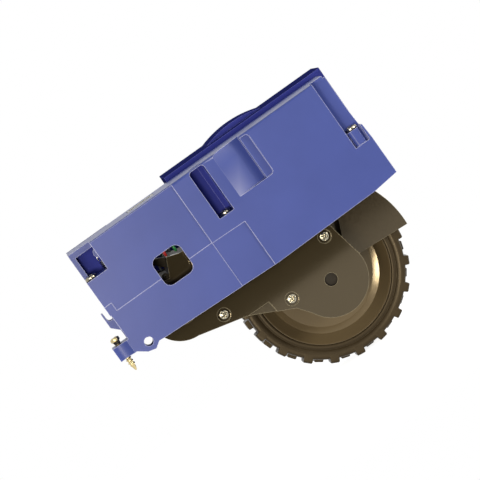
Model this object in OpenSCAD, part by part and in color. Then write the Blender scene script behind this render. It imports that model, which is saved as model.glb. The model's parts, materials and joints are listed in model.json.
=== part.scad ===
// Drive wheel module of a robot vacuum: a moulded housing, a sprung gearbox arm and a driven wheel.
// Origin: mouth of the locating hole on the front wall. X runs along the housing to the wheel end,
// Y runs away from the front wall to the wheel side, and Z is up.

/* [Wheel] */
// Diameter over the tread lugs
wheel_d = 72; // [50:1:100]
// Width of the tyre
wheel_w = 17; // [12:1:24]
// Height of the tread lugs
lug_h = 1.8; // [0.5:0.1:3]
// Number of tread lugs in one row
lug_count = 20; // [12:1:36]
// Rubber thickness under the lugs
tyre_t = 7; // [4:0.1:9]
// Radius of the steel axle
axle_r = 3; // [2:0.1:4]

/* [Arm] */
// Clear distance from the arm pivot to the tread
pivot_gap = 23.6; // [18:0.1:34]
// Angle of the dropped arm below level
droop = 25.3; // [15:0.1:35]
// Angle that the arm swings up from its dropped stop
travel = 27; // [15:1:32]
// Place of the pivot along the housing
pivot_x = 17.3; // [14:0.1:24]
// Height of the pivot over the locating hole
pivot_z = 2.7; // [0:0.1:6]
// Front face of the gearbox cover
arm_y = 10; // [10:0.1:14]
// Thickness of the gearbox cover
cover_t = 2; // [1.5:0.1:3]
// Wall of the gearbox case
case_t = 1.6; // [1.2:0.1:2.4]
// Radius of the pins that carry the gears
pin_r = 1; // [0.8:0.1:1.4]
// Outline of the gearbox around the motor
cup_r = 13.2; // [13:0.1:16]
// Thickness of the wheel guard
guard_t = 1.5; // [1:0.1:2.5]

/* [Gear train] */
// Teeth on the motor pinion
n_motor = 12; // [10:1:16]
// Teeth on the large and small rings of the first gear
n_first = [44, 12];
// Teeth on the large and small rings of the second gear
n_second = [40, 13];
// Teeth on the large and small rings of the third gear
n_third = [29, 12];
// Teeth on the output gear
n_out = 26; // [22:1:28]

/* [Motor] */
// Radius of the motor can
motor_r = 12; // [9:0.1:12]
// Length of the motor can
motor_len = 22.4; // [18:0.1:24]
// Radius of the motor shaft
shaft_r = 1; // [0.8:0.1:1.5]

/* [Housing] */
// Wall of the housing mouldings
wall = 2; // [1.6:0.1:2.6]
// Depth of the front moulding
front_depth = 27; // [26:0.5:30]
// Distance from the locating hole to the left end
left_end = 6.4; // [5:0.1:9]
// Clear gap between the tread and the wheel arch
arch_gap = 5.4; // [4:0.1:8]
// Height of the arch hump over the rear deck
hump_h = 2.1; // [1:0.1:4]
// Height of the rear deck over the front roof
deck_step = 1.9; // [1:0.1:3]
// Depth of the screwdriver wells in the front wall
well_depth = 7.9; // [6:0.1:7.9]
// Radius of the locating hole
locating_r = 1.8; // [1.2:0.1:2.4]
// Width and height of the wiring window
window_size = [12.8, 12.4];

/* [Screws] */
// Shank radius of the mounting screws
screw_r = 1.45; // [1:0.05:2]
// Head radius of the mounting screws
head_r = 2.4; // [2:0.1:3]
// Thickness of the screw heads
head_t = 1.7; // [1:0.1:2.5]
// Length of the mounting screws under the head
screw_len = 14; // [12:0.5:20]
// Relief of the captive screws' necks under the thread
neck_relief = 0.2; // [0.1:0.05:0.4]
// Shank radius of the small screws
small_r = 1; // [0.8:0.05:1.3]

/* [Fits] */
// Radial clearance of a running fit
run = 0.05; // [0.02:0.01:0.1]
// Gap between pieces that sit beside each other
gap = 0.3; // [0.2:0.05:0.5]

/* [Hidden] */
$fn = 72;
tiny = 0.01;

// Wheel and arm places
wheel_r = wheel_d / 2;
arm_len = wheel_r + pivot_gap;
axle_x = pivot_x + arm_len * cos(droop);
axle_z = pivot_z - arm_len * sin(droop);
arch_x = pivot_x + arm_len * cos(droop - travel) - 0.6;
arch_z = pivot_z + arm_len * sin(travel - droop);
cover_back = arm_y + cover_t;
case_back = cover_back + 21;
wheel_y = case_back + 5;
wheel_back = wheel_y + wheel_w;

// Wheel guard, and how far it reaches to the right while the arm swings
guard_gap = 1.9;
guard_in = wheel_r + guard_gap;
guard_out = guard_in + guard_t;
guard_low = 4;
guard_y = case_back - 0.4;
reach = max([for (a = [0:1:travel]) arm_len * cos(droop - a) + guard_out * cos(max(0, a - guard_low))]);

// Housing outline
end_in = pivot_x + reach + 0.5;
end_out = end_in + wall - 0.2;
right_x = end_out - 2.3;
left_x = -left_end;
arch_in = wheel_r + arch_gap;
arch_out = arch_in + wall;
deck_top = arch_z + arch_out - hump_h;
front_top = deck_top - deck_step;
bottom_z = -3.4;
back_y = wheel_back + 1;
arch_y = case_back + 3;
deck_x = arch_x - 34.6;
corner_r = 6;

// Connector socket under the roof
socket_x = [22, 34];
socket_y = [12, 20];
socket_z = front_top - 10;

// Front wall features, measured from the roof and the ends
well_back = well_depth + 1.6;
notch_floor = front_top - 12.2;
notch_right = 3.3;
slot_x = [49, 55.6];
slot_floor = front_top - 21.6;
pocket_x = [60.2, 72.8, 76.3];
pocket_floor = front_top - 19.1;
pocket_depth = 5.5;
end_notch_x = right_x - 7.6;
end_notch_z = front_top - 29.9;
end_boss_z = front_top - 23.5;
window_at = [17.8, front_top - 31.7];
window_r = 2.9;
step_z = front_top - 27.2;
panel_x = [41.3, 56.3];
rib_x = [socket_x[0] - 8, socket_x[1] + 2.4];
screw_y = 4.3;
left_screw_x = -3.9;
mid_screw_x = 52.4;
right_screw_x = right_x - 4.4;
ear_t = 6.5;
tab_x = -13.1;
tab_z = [-0.5, 5.3];
tab_screw_x = -10.2;
tab_lift = 1.7;
slot_boss = 6;
end_boss = 8.4;
post_r = 2.6;
post_x = left_x + wall + 2.2;
posts = [[post_x, pivot_z + 18.2], [post_x, pivot_z + 6.3], [deck_x + wall + 3.2, front_top - wall - 3.6],
    [right_x - 4.6, front_top - wall - 3.4], [right_x - 4.6, 2.2]];

// Gear train: tooth sizes grow with the arm, so the gears always reach from the motor to the axle
pitch_1 = arm_len / 119.2;
pitch_2 = 1.4 * pitch_1;
pitch_3 = 1.6 * pitch_1;
pitch_4 = 1.8 * pitch_1;
span_1 = pitch_1 * (n_motor + n_first[0]) / 2;
span_2 = pitch_2 * (n_first[1] + n_second[0]) / 2;
span_3 = pitch_3 * (n_second[1] + n_third[0]) / 2;
span_4 = pitch_4 * (n_third[1] + n_out) / 2;
first_at = span_1 * [cos(35.4), sin(35.4)];
third_at = [arm_len, 0] + span_4 * [-cos(37), sin(37)];
second_at = meet(first_at, span_2, third_at, span_3);
out_tip = pitch_4 * (n_out / 2 + 0.85);
nose_r = out_tip + 0.8 + case_t;
back_lash = 0.9;

// Gear layers along the axle, from the cover to the back of the case
layer_1 = [cover_back + 1.5, cover_back + 4.5];
layer_2 = [cover_back + 5.2, cover_back + 8.2];
layer_3 = [cover_back + 9, cover_back + 12.4];
layer_4 = [cover_back + 13.2, cover_back + 17.8];
motor_wall = [cover_back + 9.5, cover_back + 11.3];
can_end = motor_wall[1] + motor_len;
cap_end = can_end + 2;
encoder_y = cap_end + 1.6;
pivot_end = can_end + 6.6;
cheek_y = pivot_end + 0.5;

// Places on the arm, in its own frame: along the arm, then square to it
screw_boss_r = 2.3;
first_clear = pitch_1 * (n_first[0] / 2 + 0.85) + screw_boss_r;
third_clear = pitch_3 * (n_third[0] / 2 + 0.85) + screw_boss_r;
screw_spots = [first_at + (first_clear + 1.21) * [cos(70.9), -sin(70.9)],
    third_at + (third_clear + 0.64) * [-cos(80), -sin(80)],
    third_at + (third_clear + 0.86) * [cos(25.3), sin(25.3)],
    first_at + (first_clear + 0.62) * [cos(81.6), sin(81.6)]];
journal_r = 4.3;
bush_t = 1;
boss_r = 6.5;
recess_r = boss_r + 0.4;
coil_r = 2;
coil_wire = 0.4;
hook_r = 1.6;
hook_play = 0.25;
peg_r = hook_r - coil_wire - hook_play - run;
lug_at = [-cup_r - hook_r - coil_wire - 0.3, 2];
spring_top = [pivot_x - 13.1, front_top - 5.6];
spring_y = 13.6;
cam_at = [-6.4, 18];
bearing_r = 5;
dowel_a = droop - 10;

// Wheel drop switch
switch_y = [18.5, 24.9];
switch_x = [pivot_x - 15.8, pivot_x - 9.8];
switch_z = [pivot_z + 18.8, pivot_z + 32.1];
lever_at = [pivot_x - 9.2, pivot_z + 30.9];
lever_open = 36;
plunger_z = pivot_z + 23.3;
lever_len = 15;

// Wire routes from the socket over the gearbox to the back of the motor
wire_r = 0.6;
over_z = front_top - 14.7;
wire_top = socket_z - 2.3;
routes = [
    [[25, 14, wire_top], [24.8, 10.8, 28.9], [24.4, 6.8, 26.3], [24.4, 4.8, 24], [24.4, 6.7, 22.4],
        [24.4, 9, 24.8], [24.4, 12.4, 27.2], [24, 17, over_z], [22.8, 25, over_z], [20.4, 33, 28],
        [18.4, 40, 20], [17.3, 45.2, 15.7]],
    [[27, 14, wire_top], [26.8, 10.8, 28.9], [26.4, 6.8, 26.6], [26.4, 4.7, 24.8], [26.4, 6.8, 23],
        [26.4, 9, 25], [26.4, 12.4, 27.2], [26, 17, over_z], [24.8, 25, over_z], [22.8, 33, 28],
        [20.9, 40, 20], [20.4, 45.2, 15.5]],
    [[29, 14, wire_top], [28.8, 10.8, 28.9], [28.6, 6.8, 26.3], [28.6, 4.5, 23.5], [28.6, 6.4, 21.9],
        [28.6, 9, 24.9], [28.6, 12.4, 27.2], [28.2, 17, over_z], [27, 25, over_z], [25.4, 33, 28],
        [23.6, 40, 20], [23.4, 45.2, 14.4]],
    [[31, 14, wire_top], [30.9, 10.8, 28.9], [30.8, 6.8, 26.8], [30.8, 4.9, 25], [30.8, 7, 23.2],
        [30.8, 9, 25.2], [30.8, 12.4, 27.2], [30.4, 17, over_z], [29.2, 25, over_z], [28, 33, 28],
        [26.3, 40, 20], [26, 45.2, 12.6]]];

// Upper meeting point of two circles, for a gear that meshes with two others
function meet(a, ra, b, rb) =
    let (d = norm(b - a), along = (ra * ra - rb * rb + d * d) / (2 * d),
        side = sqrt(ra * ra - along * along), u = (b - a) / d)
    a + along * u + side * [-u[1], u[0]];

// Direction in degrees from one point to another
function heading(a, b) = atan2(b[1] - a[1], b[0] - a[0]);

// Involute angle in degrees at a pressure angle
function inv(a) = tan(a) * 180 / PI - a;

// Half width in degrees of an involute tooth at radius r
function half_tooth(n, m, r) =
    back_lash * 90 / n + inv(20) - inv(acos(min(1, m * n * cos(20) / 2 / r)));

// Flank radii of a tooth, from root to tip
function flank(n, m) =
    [m * (n / 2 - 1.2), max(m * (n / 2 - 0.75), m * n * cos(20) / 2), m * n / 2, m * (n / 2 + 0.85)];

// Outline of a spur gear with a tooth centred on the angle start
function gear_points(n, m, start) =
    [for (i = [0:n - 1], side = [-1, 1], k = side < 0 ? [0:3] : [3:-1:0])
        let (r = flank(n, m)[k], a = start + i * 360 / n + side * half_tooth(n, m, r))
        r * [cos(a), sin(a)]];

// Smooth points along a route, by a Catmull-Rom curve through its points
function bend(p, i, t) =
    let (n = len(p) - 1, a = p[max(0, i - 1)], b = p[i], c = p[i + 1], d = p[min(n, i + 2)])
    0.5 * (2 * b + (c - a) * t + (2 * a - 5 * b + 4 * c - d) * t * t
        + (3 * b - a - 3 * c + d) * t * t * t);
function smooth(p, cuts) =
    concat([for (i = [0:len(p) - 2], k = [0:cuts - 1]) bend(p, i, k / cuts)], [p[len(p) - 1]]);

// Extrudes an outline drawn in X and Z from y0 to y1
module slab(y0, y1) {
    translate([0, y1, 0]) rotate([90, 0, 0]) linear_extrude(y1 - y0) children();
}

// A round bar along Y
module bar(at, y0, y1, r) {
    translate([at[0], y1, at[1]]) rotate([90, 0, 0]) cylinder(h = y1 - y0, r = r);
}

// A tube along Y
module ring(at, y0, y1, r_out, r_in) {
    difference() {
        bar(at, y0, y1, r_out);
        bar(at, y0 - 1, y1 + 1, r_in);
    }
}

// A box from one corner to the other
module block(a, b) {
    translate(a) cube(b - a);
}

// A rectangle with round corners
module round_rect(a, b, r) {
    translate([a[0] + r, a[1]]) square([b[0] - a[0] - 2 * r, b[1] - a[1]]);
    translate([a[0], a[1] + r]) square([b[0] - a[0], b[1] - a[1] - 2 * r]);
    for (x = [a[0] + r, b[0] - r], z = [a[1] + r, b[1] - r]) translate([x, z]) circle(r);
}

// Puts a piece that is drawn in the arm's own frame on the dropped arm
module on_arm() {
    translate([pivot_x, 0, pivot_z]) rotate([0, droop, 0]) children();
}

// A captive screw along Z with its head up, its seat at z, a neck and then the thread
module screw_down(x, y, z, r, length, hr, ht, neck) {
    translate([x, y, z - length]) cylinder(h = length - neck, r = r);
    translate([x, y, z - length]) cylinder(h = length + tiny, r = r - neck_relief);
    difference() {
        translate([x, y, z]) cylinder(h = ht, r = hr);
        for (turn = [0, 90]) translate([x, y, z + ht]) rotate(turn)
            cube([hr * 1.1, 0.5, 1.6], center = true);
    }
}

// A small screw along Y with its head towards the front wall when side is -1
module screw_across(at, y, side, length, r, hr, ht) {
    bar(at, min(y, y - side * length), max(y, y - side * length), r);
    difference() {
        bar(at, min(y, y + side * ht), max(y, y + side * ht), hr);
        for (turn = [0, 90]) translate([at[0], y + side * ht, at[1]]) rotate([0, turn, 0])
            cube([hr * 1.1, 1.4, 0.5], center = true);
    }
}

// A thin cord swept along points, as triangles between one ring of corners at each point
module sweep(points, r, sides = 8) {
    n = len(points);
    rings = [for (i = [0:n - 1])
        let (t = points[min(n - 1, i + 1)] - points[max(0, i - 1)], w = t / norm(t),
            u = cross(w, [1, 0, 0]), side = u / norm(u), up = cross(side, w))
        for (k = [0:sides - 1]) points[i] + r * (cos(360 * k / sides) * side + sin(360 * k / sides) * up)];
    skin = [for (i = [0:n - 2], k = [0:sides - 1])
        let (a = i * sides + k, b = i * sides + (k + 1) % sides)
        each [[a, b, b + sides], [a, b + sides, a + sides]]];
    first = [for (k = [1:sides - 2]) [0, k + 1, k]];
    last = [for (k = [1:sides - 2]) [(n - 1) * sides, (n - 1) * sides + k, (n - 1) * sides + k + 1]];
    polyhedron(points = rings, faces = concat(skin, first, last), convexity = 6);
}

// A spur gear ring along Y
module gear_ring(at, layer, n, m, start) {
    slab(layer[0], layer[1]) translate(at) polygon(gear_points(n, m, start));
}

// Outline of the front wall
module front_outline() {
    polygon([[left_x, front_top], [right_x - 1.8, front_top], [right_x, end_notch_z],
        [right_x + 0.1, bottom_z + 1], [right_x - 10.6, bottom_z - 0.2],
        [56.4, bottom_z - 0.9], [5.6, bottom_z + 1.1], [3.4, bottom_z + 1.3], [0.8, bottom_z - 0.5],
        [-2.4, bottom_z + 0.3], [left_x + 0.5, tab_z[0]], [left_x + 0.5, 10]]);
}

// The same outline set in by the wall, where the front moulding is hollow
module front_hollow() {
    polygon([[left_x + wall, front_top - wall], [right_x - 1.8 - wall, front_top - wall],
        [right_x - wall, end_notch_z], [right_x - wall, bottom_z - 8],
        [left_x + wall + 8.6, bottom_z - 8], [left_x + wall + 8.6, bottom_z + 3.8],
        [left_x + wall, bottom_z + 5.4]]);
}

// Solid blocks behind the wells and the pocket
module well_walls() {
    block([left_x, 0, notch_floor - 15.4], [notch_right - 1.6, well_back - 1.6, front_top - wall / 2]);
    block([left_x, 0, notch_floor - 1.6], [notch_right + 1.6, well_back, front_top - wall / 2]);
    block([slot_x[0] - 1.6, 0, slot_floor - slot_boss], [slot_x[1] + 1.6, well_back, front_top - wall / 2]);
    block([end_notch_x - 1.6, 0, end_boss_z - end_boss], [right_x - 0.8, well_back, front_top - wall / 2]);
    translate([0, 0, pocket_floor - 1.6]) linear_extrude(front_top - wall / 2 - pocket_floor + 1.6)
        polygon([[pocket_x[0] - 1, 0], [pocket_x[0] - 1, wall], [pocket_x[1], pocket_depth + 1.6],
            [pocket_x[1] + 1.6, pocket_depth + 1.6], [pocket_x[2] + 1.6, wall + 1], [pocket_x[2] + 1.6, 0]]);
}

// Wells open to the front for the screwdriver, and the stepped pocket
module well_cuts() {
    block([left_x - 1, -1, notch_floor], [notch_right, well_depth, front_top + 1]);
    block([left_x + 1.9, 0, notch_floor], [notch_right, well_back + 1, front_top - 2.4]);
    slab(-1, well_depth) round_rect([slot_x[0], slot_floor], [slot_x[1], front_top - 0.6], 1.3);
    block([slot_x[0], -1, slot_floor], [slot_x[1], well_depth, slot_floor + 3]);
    translate([mid_screw_x, screw_y, slot_floor]) cylinder(h = 40, r = head_r + 0.5);
    block([end_notch_x, -1, end_boss_z], [right_x + 1, well_depth, front_top + 1]);
    difference() {
        block([end_notch_x, -1, end_notch_z], [right_x - 1.2, 2.4, end_boss_z + 1]);
        translate([0, 0, end_notch_z - 1]) linear_extrude(end_boss_z - end_notch_z + 1)
            round_rect([end_notch_x + 0.8, 0.8], [right_x - 1.9, 8], 1.4);
    }
    translate([0, 0, pocket_floor]) linear_extrude(40)
        polygon([[pocket_x[0], -1], [pocket_x[0], 0], [pocket_x[1], pocket_depth], [pocket_x[1], -1]]);
    slab(-1, 1.5) round_rect([pocket_x[1] - 4, pocket_floor], [pocket_x[2], front_top - 0.9], 1.5);
}

// Shallow steps that divide the front wall into panels
module panel_steps() {
    slab(-1, 0.35) polygon([[left_x - 1, step_z + 3.6], [left_x + 3.3, step_z + 3.6],
        [left_x + 3.3, step_z], [panel_x[0], step_z], [panel_x[0], front_top + 1], [left_x - 1, front_top + 1]]);
    slab(-1, 0.5) polygon([[panel_x[0], bottom_z - 4], [panel_x[1], bottom_z - 4],
        [panel_x[1], step_z - 0.6], [panel_x[0], step_z - 0.2]]);
    translate([panel_x[1] - 4.4, -39.1, step_z - 9]) sphere(40);
}

// Blue front moulding: wall, roof, wells, bracket, hook and pivot boss
module front_housing() {
    color([0.32, 0.36, 0.62]) difference() {
        union() {
            difference() {
                slab(0, front_depth) front_outline();
                slab(wall, front_depth + 1) front_hollow();
            }
            well_walls();
            for (i = [0:4]) bar(posts[i], i < 4 ? 1 : well_back, front_depth, post_r);
            block([left_x + 1, 1, posts[0][1] - 1], [posts[0][0], front_depth, posts[0][1] + 1]);
            block([left_x + 1, 1, posts[1][1] - 1], [posts[1][0], front_depth, posts[1][1] + 1]);
            block([posts[2][0] - 1, 8, posts[2][1]], [posts[2][0] + 1, front_depth, front_top - 1]);
            block([posts[3][0] - 1, 8, posts[3][1]], [posts[3][0] + 1, front_depth, front_top - 1]);
            block([posts[4][0], well_back, posts[4][1] - 1], [right_x - 1, front_depth, posts[4][1] + 1]);
            slab(1, arm_y + 0.6) intersection() {
                translate([pivot_x, pivot_z]) circle(boss_r);
                front_outline();
            }
            bar([0, 0], 0, ear_t, locating_r + 1.8);
            block([tab_x, 0, tab_z[0]], [left_x + 3, 8.6, tab_z[1]]);
            slab(2, 6.5) polygon([[-6, 9.4], [-9, 12.4], [-9, 18.6], [-8.3, 18.6], [-8.2, 15.6],
                [-7.7, 14.9], [-7, 14.7], [-5, 14.7], [-5, 9.4]]);
            slab(front_depth - 12, front_depth - 10) polygon([[left_x + 1, 33], [left_x + 1, front_top - 1],
                [left_x + 12, front_top - 1]]);
            for (x = rib_x) translate([x, 0, 0]) rotate([90, 0, 90]) linear_extrude(1.2)
                polygon([[1, front_top - 1], [1, front_top - 9], [wall + 1, front_top - 9],
                    [12, front_top - 4.4], [front_depth, front_top - 4.4], [front_depth, front_top - 1]]);
            bar(spring_top, 1, spring_y + 1.6, peg_r);
            bar(spring_top, spring_y + 1.6, spring_y + 2.4, peg_r + 0.7);
            bar(spring_top, 1, spring_y - 1.2, 2.2);
        }
        well_cuts();
        panel_steps();
        translate([tab_x + 2.2, -4.7, tab_z[0] - 5]) cylinder(h = tab_z[1] - tab_z[0] + 10, r = 6.3);
        // Pilot holes for the housing screws
        for (p = posts) bar(p, 14, front_depth + 1, small_r);
        // Wiring window and locating hole
        slab(-1, wall + 0.5) round_rect(window_at, window_at + window_size, window_r);
        bar([0, 0], -1, front_depth + 1, locating_r);
        // Socket opening in the roof
        block([socket_x[0] - gap, socket_y[0] - gap, front_top - wall - 1],
            [socket_x[1] + gap, socket_y[1] + gap, front_top + 1]);
        // Bore for the front bush
        bar([pivot_x, pivot_z], wall, arm_y + 1, journal_r + bush_t + run);
        // Clearance holes for the mounting screws that reach into the robot
        for (x = [mid_screw_x, right_screw_x, tab_screw_x])
            translate([x, screw_y, -20]) cylinder(h = 60, r = screw_r + 0.2);
        // Blind pilot hole for the left one, which bites into its own boss
        translate([left_screw_x, screw_y, notch_floor - screw_len]) cylinder(h = 40, r = screw_r);
        // Rounded front edge of the roof
        difference() {
            block([left_x - 1, -1, front_top - 1.2], [right_x + 1, 1.2, front_top + 1]);
            translate([left_x - 2, 1.2, front_top - 1.2]) rotate([0, 90, 0])
                cylinder(h = right_x - left_x + 4, r = 1.2);
        }
        // Room behind the locating ear
        block([left_x + wall, ear_t, bottom_z - 8], [6, front_depth + 1, 1.9]);
    }
}

// Darker rear moulding: deck, wheel arch, end wall and the cheek that holds the arm's far end
module rear_housing() {
    left_z = [-2, front_top - 15];
    color([0.2, 0.2, 0.46]) difference() {
        union() {
            // Deck with its front step
            translate([0, 0, deck_top - wall]) linear_extrude(wall) deck_plan(0);
            translate([0, 0, front_top - 5]) linear_extrude(deck_top - front_top + 5) difference() {
                deck_plan(0);
                deck_plan(wall);
            }
            block([deck_x, front_depth, front_top - 8], [deck_x + wall, back_y, deck_top]);
            // Wheel arch, its front web and its rim
            intersection() {
                union() {
                    bar([arch_x, arch_z], arch_y, back_y, arch_out);
                    slab(arch_y, arch_y + wall) translate([arch_x, arch_z - 2])
                        square([end_out - arch_x, deck_top - arch_z + 1]);
                    slab(arch_y, arch_y + wall) translate([deck_x, arch_z + 20])
                        square([end_out - deck_x, deck_top - arch_z - 21]);
                }
                block([0, 0, arch_z], [end_out, 100, 200]);
            }
            block([arch_x - arch_out, arch_y, left_z[0]], [arch_x - arch_in, back_y, arch_z + 0.1]);
            // End wall
            translate([0, 0, left_z[0]]) linear_extrude(deck_top - left_z[0]) difference() {
                deck_plan(0);
                deck_plan(wall - 0.2);
                translate([0, 0]) square([end_out - corner_r, 100]);
            }
            // Plate that closes the shaft of the left well from behind
            block([left_x, front_depth, left_z[1] - 5], [left_x + 19, front_depth + wall, front_top]);
            // Left wall and the cheek behind the motor
            block([left_x, front_depth, left_z[0]], [left_x + wall, cheek_y + 2.5, left_z[1]]);
            slab(cheek_y, cheek_y + 2.5) polygon([[left_x, left_z[0]], [left_x, left_z[1]],
                [left_x + 10, left_z[1]], [pivot_x + 4, 20], [arch_x - arch_in, 24],
                [arch_x - arch_in, left_z[0]], [pivot_x + 8, -7], [pivot_x - 8, -7]]);
            bar([pivot_x, pivot_z], cheek_y, cheek_y + 4, 7);
            // Lugs under the housing screws
            for (p = [posts[0], posts[1]])
                block([left_x + 1, front_depth, p[1] - 3], [p[0] + 3, front_depth + 2.5, p[1] + 3]);
            for (p = [posts[2], posts[3]])
                block([p[0] - 3, front_depth, p[1] - 3], [p[0] + 3, front_depth + 2.5, front_top - 2]);
            block([posts[4][0] - 3, front_depth, posts[4][1] - 3],
                [end_in + 0.5, front_depth + 2.5, posts[4][1] + 3]);
            block([posts[3][0], front_depth, posts[3][1] - 3],
                [end_in + 0.5, front_depth + 2.5, posts[3][1] + 3]);
        }
        // Room for the wheel under the arch
        bar([arch_x, arch_z], arch_y - 1, back_y + 1, arch_in);
        block([arch_x - arch_in, arch_y - 1, -20], [end_in, back_y + 1, arch_z]);
        // Bore for the rear bush, and the screw holes
        bar([pivot_x, pivot_z], cheek_y - 1, cheek_y + 5, 4);
        for (p = posts) bar(p, front_depth - 1, front_depth + 3, small_r + 0.2);
        // Lightening slots in the cheek
        slab(cheek_y - 1, cheek_y + 3) round_rect([left_x + 4, 14], [left_x + 12, 24], 2);
    }
}

// Plan of the deck, set in by a wall, with its front corner at the wheel end rounded
module deck_plan(inset) {
    r = corner_r - inset;
    translate([deck_x, front_depth + inset + r])
        square([end_out - inset - deck_x, back_y - front_depth - inset - r + (inset > 0 ? 1 : 0)]);
    translate([deck_x + (inset > 0 ? inset : 0), front_depth + inset])
        square([end_out - inset - r - deck_x - (inset > 0 ? inset : 0), r + 1]);
    translate([end_out - inset - r, front_depth + inset + r]) circle(r);
}

// Screws that hold the two mouldings together
module housing_screws() {
    color([0.75, 0.75, 0.72]) for (p = posts)
        screw_across(p, front_depth + 2.5, 1, 10, small_r, 2, 1.4);
}

// Three screws that hold the module in the robot
module mounting_screws() {
    color([0.8, 0.8, 0.78]) {
        screw_down(left_screw_x, screw_y, notch_floor, screw_r, screw_len, head_r, head_t, 2);
        screw_down(mid_screw_x, screw_y, slot_floor, screw_r, screw_len, head_r, head_t, slot_boss + 0.2);
        screw_down(right_screw_x, screw_y, end_boss_z, screw_r, screw_len, head_r, head_t, end_boss + 0.2);
    }
}

// Loose screw in the side bracket, lifted off its seat
module bracket_screw() {
    color([0.72, 0.62, 0.35])
        screw_down(tab_screw_x, screw_y, tab_z[1] + tab_lift, screw_r, screw_len - 0.4, head_r - 0.5, head_t,
            tab_z[1] - tab_z[0] + tab_lift + 0.2);
}

// Bush between the front boss and the cover's journal
module front_bush() {
    color([0.75, 0.6, 0.35])
        ring([pivot_x, pivot_z], wall + 0.5, arm_y, journal_r + bush_t, journal_r + run);
}

// Bush in the cheek
module rear_bush() {
    color([0.75, 0.6, 0.35]) ring([pivot_x, pivot_z], cheek_y, cheek_y + 4, 4, 3 + run);
}

// Close-wound tension spring between the housing's peg and the arm's peg, drawn as stacked coils
module suspension_spring() {
    low = arm_point(lug_at);
    lean = atan2(spring_top[0] - low[0], spring_top[1] - low[1]);
    length = norm(spring_top - low) - 2 * hook_play;
    coils = floor((length - 5.4) / (2 * coil_wire));
    start = (length - coils * 2 * coil_wire) / 2;
    color([0.7, 0.7, 0.72]) translate([low[0], spring_y, low[1]]) rotate([0, lean, 0])
        translate([0, 0, hook_play]) {
            rotate_extrude() {
                for (i = [0:coils]) translate([coil_r, start + 2 * coil_wire * i]) circle(coil_wire);
                translate([coil_r - 0.2, start]) square([0.4, 2 * coil_wire * coils]);
            }
            for (z = [0, length]) translate([0, 0, z]) rotate([90, 0, 0])
                rotate_extrude() translate([hook_r, 0]) circle(coil_wire);
            translate([-hook_r, 0, -0.3]) cylinder(h = start + 0.3, r = coil_wire - 0.02);
            translate([hook_r, 0, length - start]) cylinder(h = start + 0.3, r = coil_wire - 0.02);
        }
}

// Where a point of the arm's own frame lies on the dropped arm
function arm_point(p) =
    [pivot_x + p[0] * cos(droop) + p[1] * sin(droop), pivot_z - p[0] * sin(droop) + p[1] * cos(droop)];

// Wheel drop switch, held to the left wall
module switch_body() {
    color([0.12, 0.12, 0.12]) difference() {
        block([switch_x[0], switch_y[0], switch_z[0]], [switch_x[1], switch_y[1], switch_z[1]]);
        block([switch_x[1] - 3, 21, plunger_z - 0.1], [switch_x[1] + 1, 22.4, plunger_z + 1.5]);
    }
    color([0.12, 0.12, 0.12])
        block([left_x + wall, switch_y[1] - 1.5, switch_z[1] - 4.8], [switch_x[0] + tiny, switch_y[1], switch_z[1] - 0.8]);
}

// Three terminals of the switch
module switch_terminals() {
    color([0.8, 0.7, 0.4]) for (z = [plunger_z - 1.2, plunger_z + 1.2, plunger_z + 3.6])
        block([switch_x[0] - 3.2, 21, z - 0.25], [switch_x[0], 22.6, z + 0.25]);
}

// Plunger of the switch
module switch_plunger() {
    color([0.7, 0.15, 0.12])
        block([switch_x[1] - 1.6, 21.1, plunger_z], [switch_x[1] + 1.3, 22.3, plunger_z + 1.4]);
}

// Spring steel lever of the switch
module switch_lever() {
    color([0.75, 0.75, 0.75]) translate([lever_at[0], 0, lever_at[1]]) rotate([0, -lever_open, 0]) {
        block([0, 20, -lever_len], [0.4, 23.4, 0]);
        bar([0, 0], 19.4, 24, 0.5);
    }
}

// Socket for the robot's plug, open through the roof
module connector_socket() {
    color([0.92, 0.92, 0.88]) difference() {
        block([socket_x[0], socket_y[0], socket_z], [socket_x[1], socket_y[1], front_top]);
        block([socket_x[0] + 1, socket_y[0] + 1, socket_z + 2],
            [socket_x[1] - 1, socket_y[1] - 1, front_top + 1]);
        for (i = [0:3]) translate([25 + 2 * i, 14, 0]) cylinder(h = 100, r = 0.4);
    }
}

// Contact pins of the socket
module connector_pins() {
    color([0.85, 0.7, 0.35]) for (i = [0:3]) translate([25 + 2 * i, 14, socket_z - 1.6])
        cylinder(h = 8.8, r = 0.4);
}

// One wire of the loom
module loom_wire(i) {
    sweep(smooth(routes[i], 2), wire_r);
}
module wire_red() {
    color([0.75, 0.12, 0.1]) loom_wire(0);
}
module wire_black() {
    color([0.1, 0.1, 0.1]) loom_wire(1);
}
module wire_green() {
    color([0.1, 0.5, 0.2]) loom_wire(2);
}
module wire_white() {
    color([0.92, 0.92, 0.9]) loom_wire(3);
}

// Outline of the gearbox in the arm's own frame: motor end, gear bulges and nose
module arm_outline() {
    second_r = pitch_2 * (n_second[0] / 2 + 0.85) + 0.8 + case_t;
    third_r = pitch_3 * (n_third[0] / 2 + 0.85) + 0.8 + case_t;
    circle(cup_r);
    translate([arm_len, 0]) circle(nose_r);
    translate(second_at) circle(second_r);
    translate(third_at) circle(third_r);
    translate(screw_spots[2]) circle(4.6);
    translate(screw_spots[3]) circle(screw_boss_r + 1.1);
    polygon([[-1.9, 10.6], [-1.9, 19.9], [3.2, 20.6], second_at + second_r * [-sin(12), cos(12)],
        second_at + second_r * [sin(14), cos(14)], third_at + third_r * [sin(30), cos(30)],
        screw_spots[2] + [3.4, 3], [arm_len + nose_r * cos(30), nose_r * sin(30)],
        [arm_len - nose_r * cos(52), -nose_r * sin(52)], screw_spots[1] + [1.2, -3.9],
        [24.6, -8.2], [5.4, -12.1]]);
}

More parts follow.
